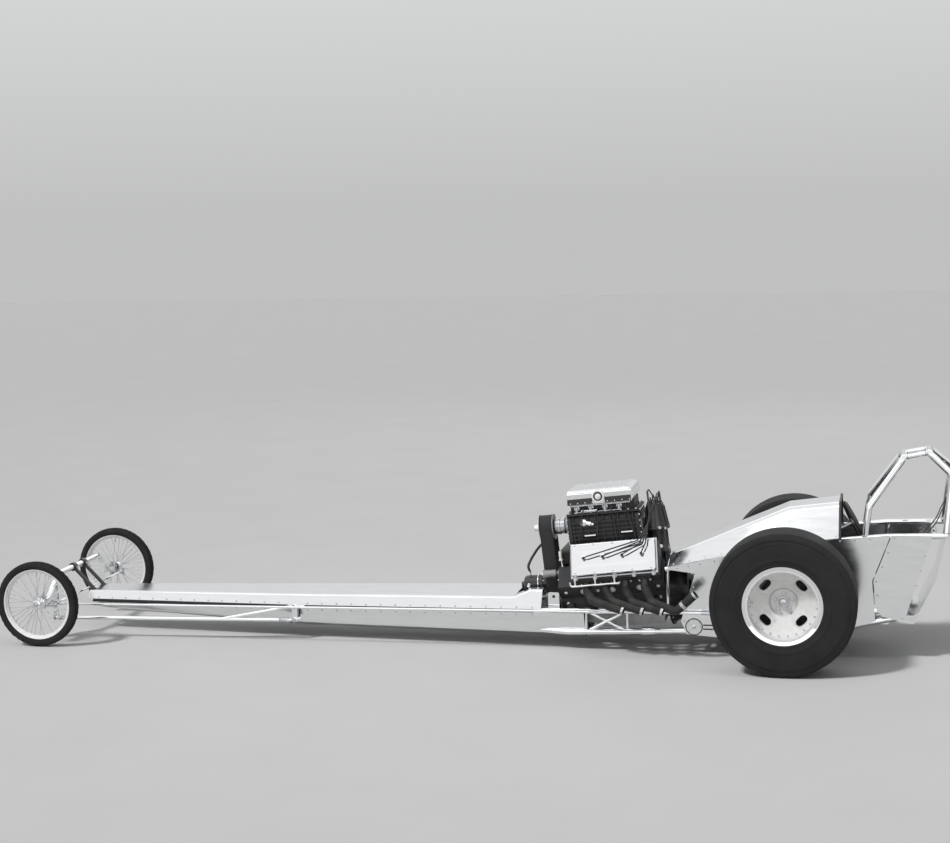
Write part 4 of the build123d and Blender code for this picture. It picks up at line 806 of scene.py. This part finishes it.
def magneto_trim():
    """The magneto's clamps, ribs, towers' collars and drive flange."""
    base = eng(-605, 0, 0)
    bm = bmesh.new()
    for profile, steps in (
            ([(58, 392), (76, 394), (77, 398), (77, 404), (73.6, 408), (58, 406)], 64),
            ([(34, 262), (62, 264), (62, 272), (58, 274), (34, 274)], 48),
            ([(22, 544.6), (53, 544.6), (53, 548), (49, 550), (26, 550), (22, 548)], 48)):
        turned(bm, profile, base, ENG_Z, steps)
    for count, foot, head, width in ((12, (0.0735, 0.408), (0.0565, 0.53), 5),
                                     (16, (0.058, 0.285), (0.058, 0.386), 4)):
        for c, s in circle(count):
            out = ENG_X * c + Y * s
            band(bm, [base + out * r + ENG_Z * h for r, h in (foot, head)], out.cross(ENG_Z), width, 5)
    add("magneto_ribs", bm, "engine_black")
    for c, s in circle(4, 0.5):
        out = ENG_X * c + Y * s
        bolt(bm, base + out * 0.0775 + ENG_Z * 0.4, out, 5, 6)
        bolt(bm, base + out * 0.05 + ENG_Z * 0.2745, ENG_Z, 4.6, 5)
    turned(bm, [(0, 561), (9, 560), (13, 556), (14, 549), (0, 549)], base, ENG_Z, 28)
    turned(bm, [(0, 16), (7, 16), (9, 13), (9, 5), (15, 4), (15, -1), (0, -1)],
           eng(-627, 62, 408), Y * 0.9 - ENG_X * 0.3, 20)
    turned(bm, [(0, 12), (6, 12), (8, 9), (8, 3), (12, 2), (12, -1), (0, -1)],
           eng(-622, 57, 292), Y * 0.9 - ENG_X * 0.3, 20)
    add("magneto_bolts", bm, "magnesium")


def bell_trim():
    """The ring of bolts that joins the clutch housing to the block."""
    bm = bmesh.new()
    for c, s in circle(16):
        bolt(bm, eng(-652, 180 * c, 180 * s), -ENG_X, 6, 7)
    add("bell_bolts", bm, "steel")
    turned(bm, [(168, -640.4), (196, -640.4), (196, -652), (184, -653), (168, -652)], eng(0, 0, 0),
           ENG_X, 72)
    add("bell_flange", bm, "cast_iron")


# Body sheets: each row is X, then the Y and Z of a section's corners from the top down,
# or from the shoulder up on the cowl
NOSE = [
    (4470, 105, 256, 140, 197, 118, 152, 70, 140),
    (3000, 165, 282, 195, 208, 165, 104, 130, 80),
    (1500, 200, 312, 245, 235, 215, 100, 170, 72),
]
COWL = [
    (695, BODY_HALF, 528, 120, 572),
    (0, BODY_HALF, 680, 130, 870),
    (-300, BODY_HALF, 718, 140, 907),
]
SIDE_EDGES = [
    [(575, 137), (602, 203), (568, 327), (519, 486)],
    [(640, 518), (505, 548), (0, 660), (-300, 699), (-556, 723)],
    [(404, 124), (300, 129), (-290, 182), (-480, 244)],
    [(-606, 723), (-505, 470), (-522, 306)],
    [(-652, 256), (-682, 276), (-800, 715)],
]


def corners(rows, x):
    """The corners of a section at x, in millimetres, from the rows on either side of it."""
    for a, b in zip(rows, rows[1:]):
        if x >= b[0]:
            break
    t = (a[0] - x) / (a[0] - b[0])
    row = [p + (q - p) * t for p, q in zip(a, b)]
    return [Vector((0, y, z)) for y, z in zip(row[1::2], row[2::2])]


def nose_trim():
    """The fasteners along the nose's split lines, its rivets and hem, and black split strips and bulkhead
    of painted shade.
    """
    bm = bmesh.new()
    for x in range(1520, 4401, 96):
        if abs(x - ROD_BRACKET_X) < 40:
            continue
        top, split, low, _ = corners(NOSE, x)
        for edge, flip in ((top, 1), (low, -1)) if x < 4390 else ((top, 1),):
            along = (edge - split).normalized()
            spot = split + along * 22
            for side in (1, -1):
                where, out = at(x, side * spot.y, spot.z), (0, side * flip * along.z, -flip * along.y)
                rivet(bm, where, out, 6.5, 2.2, 18)
                turned(bm, [(2.6, 2.0), (3.2, 2.5), (3.8, 2.0)], where, out, 12)
    add("panel_fasteners", bm, "steel")
    for x in (2980, 3012, 2180, 2212):
        top = corners(NOSE, x)[0]
        for y in evenly(14 - top.y, top.y - 14, 15):
            rivet(bm, at(x, y, top.z), Z, 2.8, 1.4, 10)
    add("panel_rivets", bm, "body_aluminium")
    top, split, *_ = corners(NOSE, 4470)
    edge = split + (top - split) * (10 / (top.z - split.z))
    rim = [at(4469, y, z) for y, z in both_sides([(edge.y, edge.z), (top.y, top.z - 1)])]
    for a, b in zip(rim, rim[1:]):
        bar(bm, b, a, 2.6)
    add("nose_hem", bm, "body_aluminium")
    # Painted shade: black strips along the splits stand for the shadowed gap over the frame rail.
    for side in (1, -1):
        for run in ((4440, 3760, 3090), (2980, 2240, 1510)):
            for corner in (0, 2):
                line = []
                for x in run:
                    section = corners(NOSE, x)
                    away = (section[corner] - section[1]).normalized()
                    away.y *= side
                    line.append(at(x, side * (section[1].y - 1.3), section[1].z) + away * 0.005)
                band(bm, line, away, 10.0, 1.6)
    add("nose_split_shade_strips", bm, "belt_rubber")
    # Painted shade: a black plate inside the nose's open front makes the opening read dark.
    inset = ((0, 3.4), (-3, 2), (-3.6, 0), (-2.6, -3.4))
    half = [(p.y + y, p.z + z) for p, (y, z) in zip(corners(NOSE, 4380)[::-1], inset)]
    prism(bm, [at(4380, y, z) for y, z in both_sides(half)], X * 0.0016)
    add("nose_shade_bulkhead", bm, "engine_black", angle=None)


def cowl_trim():
    """The cowl's fasteners, its front hem and its padded cockpit edge."""
    bm = bmesh.new()
    for x in range(660, -281, -94):
        shoulder, top = corners(COWL, x)
        along = (top - shoulder).normalized()
        spot = shoulder + along * 16
        for side in (1, -1):
            rivet(bm, at(x, side * spot.y, spot.z), (0, side * along.z, -along.y), 6.5, 2.2, 18)
    add("cowl_fasteners", bm, "steel")
    edge = BODY_HALF - 1
    for x, r, name, slot in ((694, 3, "cowl_hem", "body_aluminium"),
                             (-300, 7.5, "cockpit_edge", "seat_leather")):
        shoulder, top = corners(COWL, x)
        half = [(-edge, shoulder.z + 2), (-(edge + top.y) / 2, (shoulder.z + top.z) / 2),
                (-top.y - 8, top.z - 10), (-top.y + 12, top.z)]
        loop = half + [(0, top.z)] + [(-y, z) for y, z in half[::-1]]
        tube(bm, [at(x, y, z) for y, z in loop], r, 14, 8)
        add(name, bm, slot)


def side_trim():
    """The fasteners of the cockpit's side and tail sheets, and the round cover's screws."""
    bm = bmesh.new()
    for side in (1, -1):
        for edge in SIDE_EDGES:
            points = [Vector((x, 0, z)) for x, z in edge]
            for a, b in zip(points, points[1:]):
                for p in evenly(a, b, max(2, round((b - a).length / 92) + 1))[:-1]:
                    rivet(bm, at(p.x, side * BODY_HALF, p.z), (0, side, 0), 5.5, 2.0, 16)
    cover = at(542, BODY_HALF - 1, 170)
    for r, head, high in ((0.043, 3, 1.8), (0.022, 2.6, 1.6)):
        for c, s in circle(8):
            rivet(bm, cover + Vector((r * c, 0.003, r * s)), Y, head, high)
    turned(bm, [(32.4, 5.4), (36.5, 7), (40.6, 5.4), (40.6, 3.8), (32.4, 3.8)], cover, Y, 56)
    turned(bm, [(0, 10.4), (7, 10), (10.4, 8.2), (12.6, 7.8), (12.6, 2), (0, 2)], cover, Y, 32)
    add("side_fasteners", bm, "steel")
    turned(bm, [(45.6, 3.4), (46.4, 5.2), (50.6, 5.2), (51.6, 0.5), (45.6, 0.5)], cover, Y, 64)
    for z in (158, 182):
        band(bm, [at(489, 256.4, z), at(428, 256.4, z)], Z, 7, 2.4)
    add("cover_seal", bm, "belt_rubber")
    for y in range(-220, 221, 40):
        for x, z in ((-886, 712), (-842, 488)):
            rivet(bm, at(x, y, z), (-0.976, 0, 0.216), 3.4, 1.6)
    add("tail_rivets", bm, "steel")


def rear_axle_trim():
    """The bolts, brake pipes and cover of the rear axle."""
    bm = bmesh.new()
    for side in (1, -1):
        for c, s in circle(10, 0.5):
            bolt(bm, at(104 * c, side * 95, REAR_Z + 104 * s), (0, side, 0), 6.5, 7)
        for c, s in circle(8, 0.5):
            bolt(bm, at(50 * c, side * 411, REAR_Z + 50 * s), (0, -side, 0), 6.5, 7)
        for c, s in circle(12, 0.5):
            rivet(bm, at(126 * c, side * 420, REAR_Z + 126 * s), (0, -side, 0), 5, 3)
    add("axle_housing_bolts", bm, "steel")
    for side in (1, -1):
        route = [(-60, 419, 470), (-62, 396, 468), (-48, 370, 440), (-40, 300, 428),
                 (-40, 200, 428), (-44, 128, 432), (-60, 100, 450), (-70, 70, 520)]
        tube(bm, [at(x, side * y, z) for x, y, z in route], 3, 10, 8)
        for y in (330, 180):
            turned(bm, [(38.2, -5), (40.4, -5), (40.4, 5), (38.2, 5)], at(0, side * y, REAR_Z), Y, 40)
    turned(bm, [(0, 6), (46, 6), (52, 4), (72, 3), (72, -1), (0, -1)], at(-130, 0, REAR_Z), -X, 56)
    for c, s in circle(8):
        bolt(bm, at(-133, 62 * c, REAR_Z + 62 * s), -X, 4.6, 5)
    add("brake_pipes", bm, "steel")


# Cockpit
WHEEL_HUB, COLUMN_END = at(-375, 0, 770), at(374.4, 150.7, 405)
COLUMN = (WHEEL_HUB - COLUMN_END).normalized()


def steering_trim():
    """The steering wheel's wrapped grip, its bolts and boss."""
    side = COLUMN.orthogonal().normalized()
    other = COLUMN.cross(side)
    bm = bmesh.new()
    rows = []
    for i, (c, s) in enumerate(circle(240)):
        r = 0.0129 if i % 4 < 2 else 0.0122
        rows.append([bm.verts.new(WHEEL_HUB + (side * c + other * s) * (0.12 + r * a)
                                  + COLUMN * (r * b)) for a, b in circle(14)])
    bridge(bm, rows)
    add("wheel_grip", bm, "seat_leather", "steering_wheel_body", angle=60)
    boss = WHEEL_HUB + COLUMN * 0.012
    turned(bm, [(0, 6), (12, 5.4), (16, 3), (22, 2.4), (26.4, 1), (26.4, -2), (0, -2)], boss, COLUMN, 36)
    for c, s in circle(6):
        bolt(bm, boss + (side * c + other * s) * 0.0205 + COLUMN * 0.0022, COLUMN, 2.6, 3.4, False)
    add("wheel_boss", bm, "steel", "steering_wheel_body")


def dash():
    """The dash plate under the cowl's rear edge with three plain gauges."""
    x = -262
    top = corners(COWL, x)[1]
    bm = bmesh.new()
    loop = both_sides([(232, 745), (top.y - 2, top.z - 4)])
    prism(bm, [at(x, y, z) for y, z in loop], X * 0.002)
    add("dash_plate", bm, "body_aluminium", angle=None)
    bezels, faces, needles = bmesh.new(), bmesh.new(), bmesh.new()
    for y, z, r, turn in ((0, 836, 42, 0.9), (96, 812, 29, 2.2), (-96, 812, 29, 1.6)):
        spot = at(x, y, z)
        turned(bezels, [(r - 4, 3), (r - 2, 8), (r + 2, 8), (r + 3.4, 5), (r + 3.4, -0.2),
                        (r - 4, -0.2)], spot, -X, 48)
        disc(faces, r - 3.6, -0.2, 2.4, spot, -X, 48)
        marks = [(radians(225 - 27 * i), 0.0026, 0.00072, 0.00084, 1.1, 0.5) for i in range(11)]
        for a, lift, start, end, width, thick in marks + [(turn, 0.0032, -0.00016, 0.0007, 1.6, 0.8)]:
            out = Vector((0, -cos(a), sin(a)))
            band(needles, [spot - X * lift + out * (r * reach) for reach in (start, end)],
                 out.cross(X), width, thick)
        turned(needles, [(0, 5), (3, 4.6), (3.4, 2.2), (0, 2.2)], spot, -X, 20)
    add("gauge_bezels", bezels, "chrome")
    add("gauge_faces", faces, "black_plastic")
    add("gauge_needles", needles, "steel", angle=None)


def cage_trim():
    """The weld beads of the roll cage."""
    bm = bmesh.new()
    for side in (1, -1):
        for x, z, way in ((-892, 752, (-33, side * -37.7, 341)), (-440, 730, (-25, side * -7.7, 181))):
            turned(bm, [(18.6, -3), (21.4, -1), (21.4, 1.4), (18.6, 3.4)], at(x, side * 232.7, z),
                   way, 36)
        for x, z, flip in ((-798, 1195, 1), (-658, 1167, -1)):
            way = Vector((145, 0, -28)).normalized() * flip
            turned(bm, [(14.6, -2), (17.4, 0), (14.6, 3)], at(x, side * 90, z) + way * 0.02, way, 28)
    add("cage_welds", bm, "steel")


def brake_lever():
    """The hand brake lever beside the seat, clamped on the cross tube."""
    bm = bmesh.new()
    foot, head = at(-330, -150, 206), at(-352, -176, 560)
    turned(bm, [(13.3, -12), (18, -12), (18, 12), (13.3, 12)], at(-330, -150, 191.5), Y, 28)
    bar(bm, foot, head, 8, 16)
    for z in (240, 268):
        bolt(bm, at(-332, -145, z), Y, 5, 5)
    add("brake_lever", bm, "chrome")
    turned(bm, [(0, 4), (8, 3), (12, 0), (13, -6), (11.4, -20), (13, -34), (11.4, -48), (13, -62),
                (11.4, -76), (13, -90), (12, -104), (8.2, -106), (0, -106)], head, head - foot, 24)
    add("brake_grip", bm, "belt_rubber")


for row in FRONT:
    front_tyre(*row)
    wire_wheel(*row)
for row in REAR:
    rear_tyre(*row)
    rear_wheel_trim(*row)
    wheel_windows(*row)
for row in SIDES:
    knuckle_hardware(*row)
jam_nuts("tie_rod_nuts", "tie_rod_body", at(WHEELBASE - 80, -KINGPIN_Y, 256),
         at(WHEELBASE - 80, KINGPIN_Y, 256), 7)
jam_nuts("drag_link_nuts", "drag_link_body", at(WHEELBASE, 390, 227), at(430, 285, 260), 7)
axle_hardware()
for row in SIDES:
    cover_trim(*row)
    head_trim(*row)
    header_trim(*row)
for build in (blower_trim, drive_trim, toothed_belt, scoop_trim, injector_trim, fuel_system,
              magneto_trim, bell_trim, nose_trim, cowl_trim, side_trim, rear_axle_trim,
              steering_trim, dash, cage_trim, brake_lever):
    build()


# Padded pieces
def evaluated(piece):
    """The piece's mesh with its modifiers applied."""
    graph = bpy.context.evaluated_depsgraph_get()
    return bpy.data.meshes.new_from_object(piece.evaluated_get(graph))


def swell(piece, cap, rests, shrink):
    """Fills a remeshed pad by a short cloth run, held back where it rests on something."""
    mesh = piece.data
    normals = [v.normal.copy() for v in mesh.vertices]
    for v, n in zip(mesh.vertices, normals):
        v.co -= n * shrink
    before = [v.co.copy() for v in mesh.vertices]
    cloth = piece.modifiers.new("Cloth", "CLOTH")
    cloth.settings.use_pressure = True
    cloth.settings.uniform_pressure_force = 4
    cloth.settings.effector_weights.gravity = 0
    cloth.settings.quality = 5
    scene = bpy.context.scene
    for frame_number in range(1, 21):
        scene.frame_set(frame_number)
    after = [v.co.copy() for v in evaluated(piece).vertices]
    piece.modifiers.remove(cloth)
    scene.frame_set(1)
    for v, a, b, n in zip(mesh.vertices, before, after, normals):
        move = b - a
        if move.length > cap:
            move *= cap / move.length
        if rests(n) and move.dot(n) > 0:
            move -= n * move.dot(n)
        v.co = a + move


def pad(name, node, slot, cap, rests, shrink, groove):
    """A padded piece grown from its solid: remeshed, swollen, then sewn along its channels."""
    mesh = frame["nodes"][node].data.copy()
    mesh.materials.clear()
    piece = linked(name, mesh)
    remesh = piece.modifiers.new("Remesh", "REMESH")
    remesh.mode = "VOXEL"
    remesh.voxel_size = 0.006
    piece.data = evaluated(piece)
    piece.modifiers.clear()
    swell(piece, cap, rests, shrink)
    relax = piece.modifiers.new("Smooth", "SMOOTH")
    relax.factor = 0.5
    relax.iterations = 3
    piece.modifiers.new("Subdivision", "SUBSURF").levels = 1
    piece.data = evaluated(piece)
    piece.modifiers.clear()
    normals = [v.normal.copy() for v in piece.data.vertices]
    for v, n in zip(piece.data.vertices, normals):
        v.co -= n * groove(v.co, n)
    piece.data.shade_smooth()
    settle(piece, slot)
    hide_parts(node)
    return piece


def channel(distance, width, depth):
    """How deep a sewn channel pulls in at a distance from its thread."""
    return depth * exp(-(distance / width) ** 2)


def seat_groove(point, normal):
    """Lengthwise channels on the seat's face, with a cross seam at the bend."""
    if normal.x < -0.2 or normal.z < -0.2:
        return 0
    near = min(abs(point.y * 1000 - line) for line in (-138, -83, -28, 28, 83, 138))
    face = max(0, min(1, normal.x + normal.z))
    edge = (abs(point.z * 1000 - 700), abs((point.x - REAR_X) * 1000 + 330))
    return face * max(channel(near, 7, 0.009), channel(min(edge), 6, 0.004))


def pack_groove(point, normal):
    """The seams of the pack: its flaps' edges and the pull of its straps."""
    x, y, z = (point.x - REAR_X) * 1000, point.y * 1000, point.z * 1000
    depth = channel(abs(y) - 88, 22, 0.009)
    if abs(normal.z) < 0.7:
        depth = max(depth, channel(z - 1010, 5, 0.006) + channel(z - 800, 5, 0.003))
    if abs(normal.y) > 0.5:
        depth = max(depth, channel(x + 1045, 6, 0.005))
    return depth


seat = pad("seat_cushion", "seat_pad", "seat_leather", 0.010,
           lambda n: n.x < -0.35 or n.z < -0.35 or abs(n.y) > 0.6, 0.003, seat_groove)
pack = pad("chute_pack", "parachute_pack", "pack_fabric", 0.012,
           lambda n: n.z < -0.6 or n.x > 0.7, 0.009, pack_groove)


def surface(piece):
    """A function that says where a ray from a point first meets the piece."""
    tree = BVHTree.FromObject(piece, bpy.context.evaluated_depsgraph_get())
    return lambda start, way: tree.ray_cast(start, way.normalized())[0]


def pack_straps():
    """The pack's straps, buckles, flap binding and release cable."""
    hit = surface(pack)
    middle = at(-1045, 0, 906)
    bm, metal = bmesh.new(), bmesh.new()
    for y in (-88, 88):
        loop = []
        for c, s in circle(48) + [(1, 0)]:
            way = Vector((c * 0.6, 0, s)).normalized()
            loop.append(hit(middle + Y * (y / 1000) + way * 0.4, -way) + way * 0.0022)
        band(bm, loop, Y, 38, 3, 2)
        spot = hit(at(-1400, y, 880), X) - X * 0.005
        for flip in (-1, 1):
            up, out = Z * (0.018 * flip), Y * (0.025 * flip)
            bar(metal, spot + up - Y * 0.025, spot + up + Y * 0.025, 2.4, 10)
            bar(metal, spot + out - Z * 0.018, spot + out + Z * 0.018, 2.4, 10)
    loop = []
    for c, s in circle(60) + [(1, 0)]:
        way = Vector((c, s * 1.6, 0)).normalized()
        loop.append(hit(Vector((middle.x, 0, 1.012)) + way * 0.5, -way) + way * 0.0014)
    band(bm, loop, Z, 16, 2.4, 2)
    add("pack_straps", bm, "belt_rubber", angle=50)
    spot = hit(at(-1400, 0, 950), X) - X * 0.004
    turned(metal, [(17, -2.2), (21, -2.2), (21, 2.2), (17, 2.2)], spot, X, 36)
    bar(metal, spot - Z * 0.02, spot - Z * 0.062, 3)
    add("pack_buckles", metal, "chrome")


def harness():
    """The shoulder and lap belts lying on the seat, with their buckle."""
    hit = surface(seat)
    back = Vector((-1, 0, -0.12))
    bm, metal = bmesh.new(), bmesh.new()
    for side in (1, -1):
        path = [at(x, side * 62, z) for x, z in
                ((-924, 893), (-926, 905), (-913, 917), (-898, 907), (-868, 850), (-830, 770))]
        for z, y in ((690, 62), (620, 62), (550, 60), (480, 56), (410, 50), (345, 44)):
            path.append(hit(at(-440, side * y, z), back) + Vector((0.0035, 0, 0.0012)))
        for x, y in ((-600, 40), (-560, 34), (-528, 26)):
            path.append(hit(at(x, side * y, 420), -Z) + Z * 0.0035)
        band(bm, path, Y, 44, 2.6, 5)
        lap = [hit(at(x, side * y, 420), -Z) + Z * 0.005 for x, y in
               ((-596, 170), (-585, 140), (-566, 105), (-545, 70), (-530, 34))]
        band(bm, lap, Vector((0.9, side * 0.4, 0)), 44, 2.6, 5)
        spot = hit(at(-440, side * 62, 585), back) + Vector((0.007, 0, 0.002))
        up, out = Vector((-0.3, 0, 0.95)), Y * 0.026
        for shift in (-0.018, 0, 0.018):
            bar(metal, spot + up * shift - out, spot + up * shift + out, 2.2, 10)
        for flip in (-1, 1):
            bar(metal, spot - up * 0.02 + out * flip, spot + up * 0.02 + out * flip, 2.2, 10)
    spot = hit(at(-525, 0, 420), -Z)
    turned(metal, [(0, 16), (22, 15), (30, 12), (33, 8), (33, 1), (0, 1)], spot, Z, 40)
    turned(metal, [(0, 20), (12, 19.4), (13, 15), (0, 15)], spot, Z, 6)
    add("harness_belts", bm, "pack_fabric", angle=50)
    add("harness_buckles", metal, "chrome")


pack_straps()
harness()

# Camera, light and floor. The camera was fitted to the wheels in the photograph.
YAW, PITCH, ROLL = 0.2363, 0.1223, -0.0258
forward = Vector((sin(YAW) * cos(PITCH), -cos(YAW) * cos(PITCH), -sin(PITCH)))
level = Vector((-cos(YAW), -sin(YAW), 0))
upright = level.cross(forward)
right = level * cos(ROLL) + upright * sin(ROLL)
above = upright * cos(ROLL) - level * sin(ROLL)
camera = linked("camera", bpy.data.cameras.new("camera"))
camera.matrix_world = Matrix.Translation((-2.466, 10.388, 2.667)) @ Matrix(
    (right, above, -forward)).transposed().to_4x4()
camera.data.sensor_width = 36
camera.data.lens = 66.5
camera.data.clip_end = 200
bpy.context.scene.camera = camera


def lamp(name, where, aim, size, watts, tall):
    """A rectangular lamp, size by tall metres, aimed at a point."""
    data = bpy.data.lights.new(name, "AREA")
    data.shape = "RECTANGLE"
    data.size = size
    data.size_y = tall
    data.energy = watts
    made = linked(name, data)
    made.location = where
    made.rotation_euler = (Vector(aim) - Vector(where)).to_track_quat("-Z", "Y").to_euler()
    return made


lamp("overhead", (-0.5, 2.2, 5.6), (-0.5, 0, 0), 11.0, 75, 1.4)
lamp("back_fill", (-0.8, -11, 7.0), (-0.8, 0, 0.5), 12.0, 80, 4.0)
card = lamp("front_card", (-0.8, 9.6, 1.95), (-0.8, 0, 1.0), 13.0, 110, 3.4)
card.visible_diffuse = False

sun = linked("sun", bpy.data.lights.new("sun", "SUN"))
sun.data.energy = 2.4
sun.data.angle = radians(7)
sun.rotation_euler = Vector((-0.58, -0.64, -1)).to_track_quat("-Z", "Y").to_euler()
sun.visible_glossy = False

# The backdrop is seen by camera, glossy and transmission rays, and the sky lights the rest
world = bpy.data.worlds.new("studio")
bpy.context.scene.world = world
world.use_nodes = True
t = world.node_tree
sky = wire(t, t.nodes["Background"], {"Color": (0.95, 0.96, 0.97, 1), "Strength": 0.3})
place = new_node(t, "TexCoord", {}).outputs["Generated"]
height = new_node(t, "SeparateXYZ", {"Vector": place}).outputs["Z"]
shade = colour_ramp(t, height, (0.0, (0.53, 0.532, 0.533)), (0.5, (0.93, 0.94, 0.95)),
                    (0.12, (0.66, 0.665, 0.67)))
backdrop = new_node(t, "Background", {"Color": shade})
rays = new_node(t, "LightPath", {}).outputs
seen = rays["Is Camera Ray"]
for name in ("Is Glossy Ray", "Is Transmission Ray"):
    seen = new_node(t, "Math", {0: seen, 1: rays[name]}, operation="MAXIMUM").outputs[0]
both = new_node(t, "MixShader", {"Fac": seen, 1: sky.outputs["Background"],
                                 2: backdrop.outputs["Background"]})
wire(t, t.nodes["World Output"], {"Surface": both.outputs["Shader"]})

bm = bmesh.new()
bmesh.ops.create_grid(bm, x_segments=1, y_segments=1, size=40)
floor_mesh = bpy.data.meshes.new("floor")
bm.to_mesh(floor_mesh)
bm.free()
floor = linked("floor", floor_mesh)
floor.location = (0, 0, -0.0005)
floor_mesh.materials.append(finish("floor_paint", (0.56, 0.56, 0.555), 0.0, 0.6, 0.05, 0.02, 1.5,
                                   0.05, 60.0, level=0.05))
bpy.context.scene.view_settings.view_transform = "Standard"
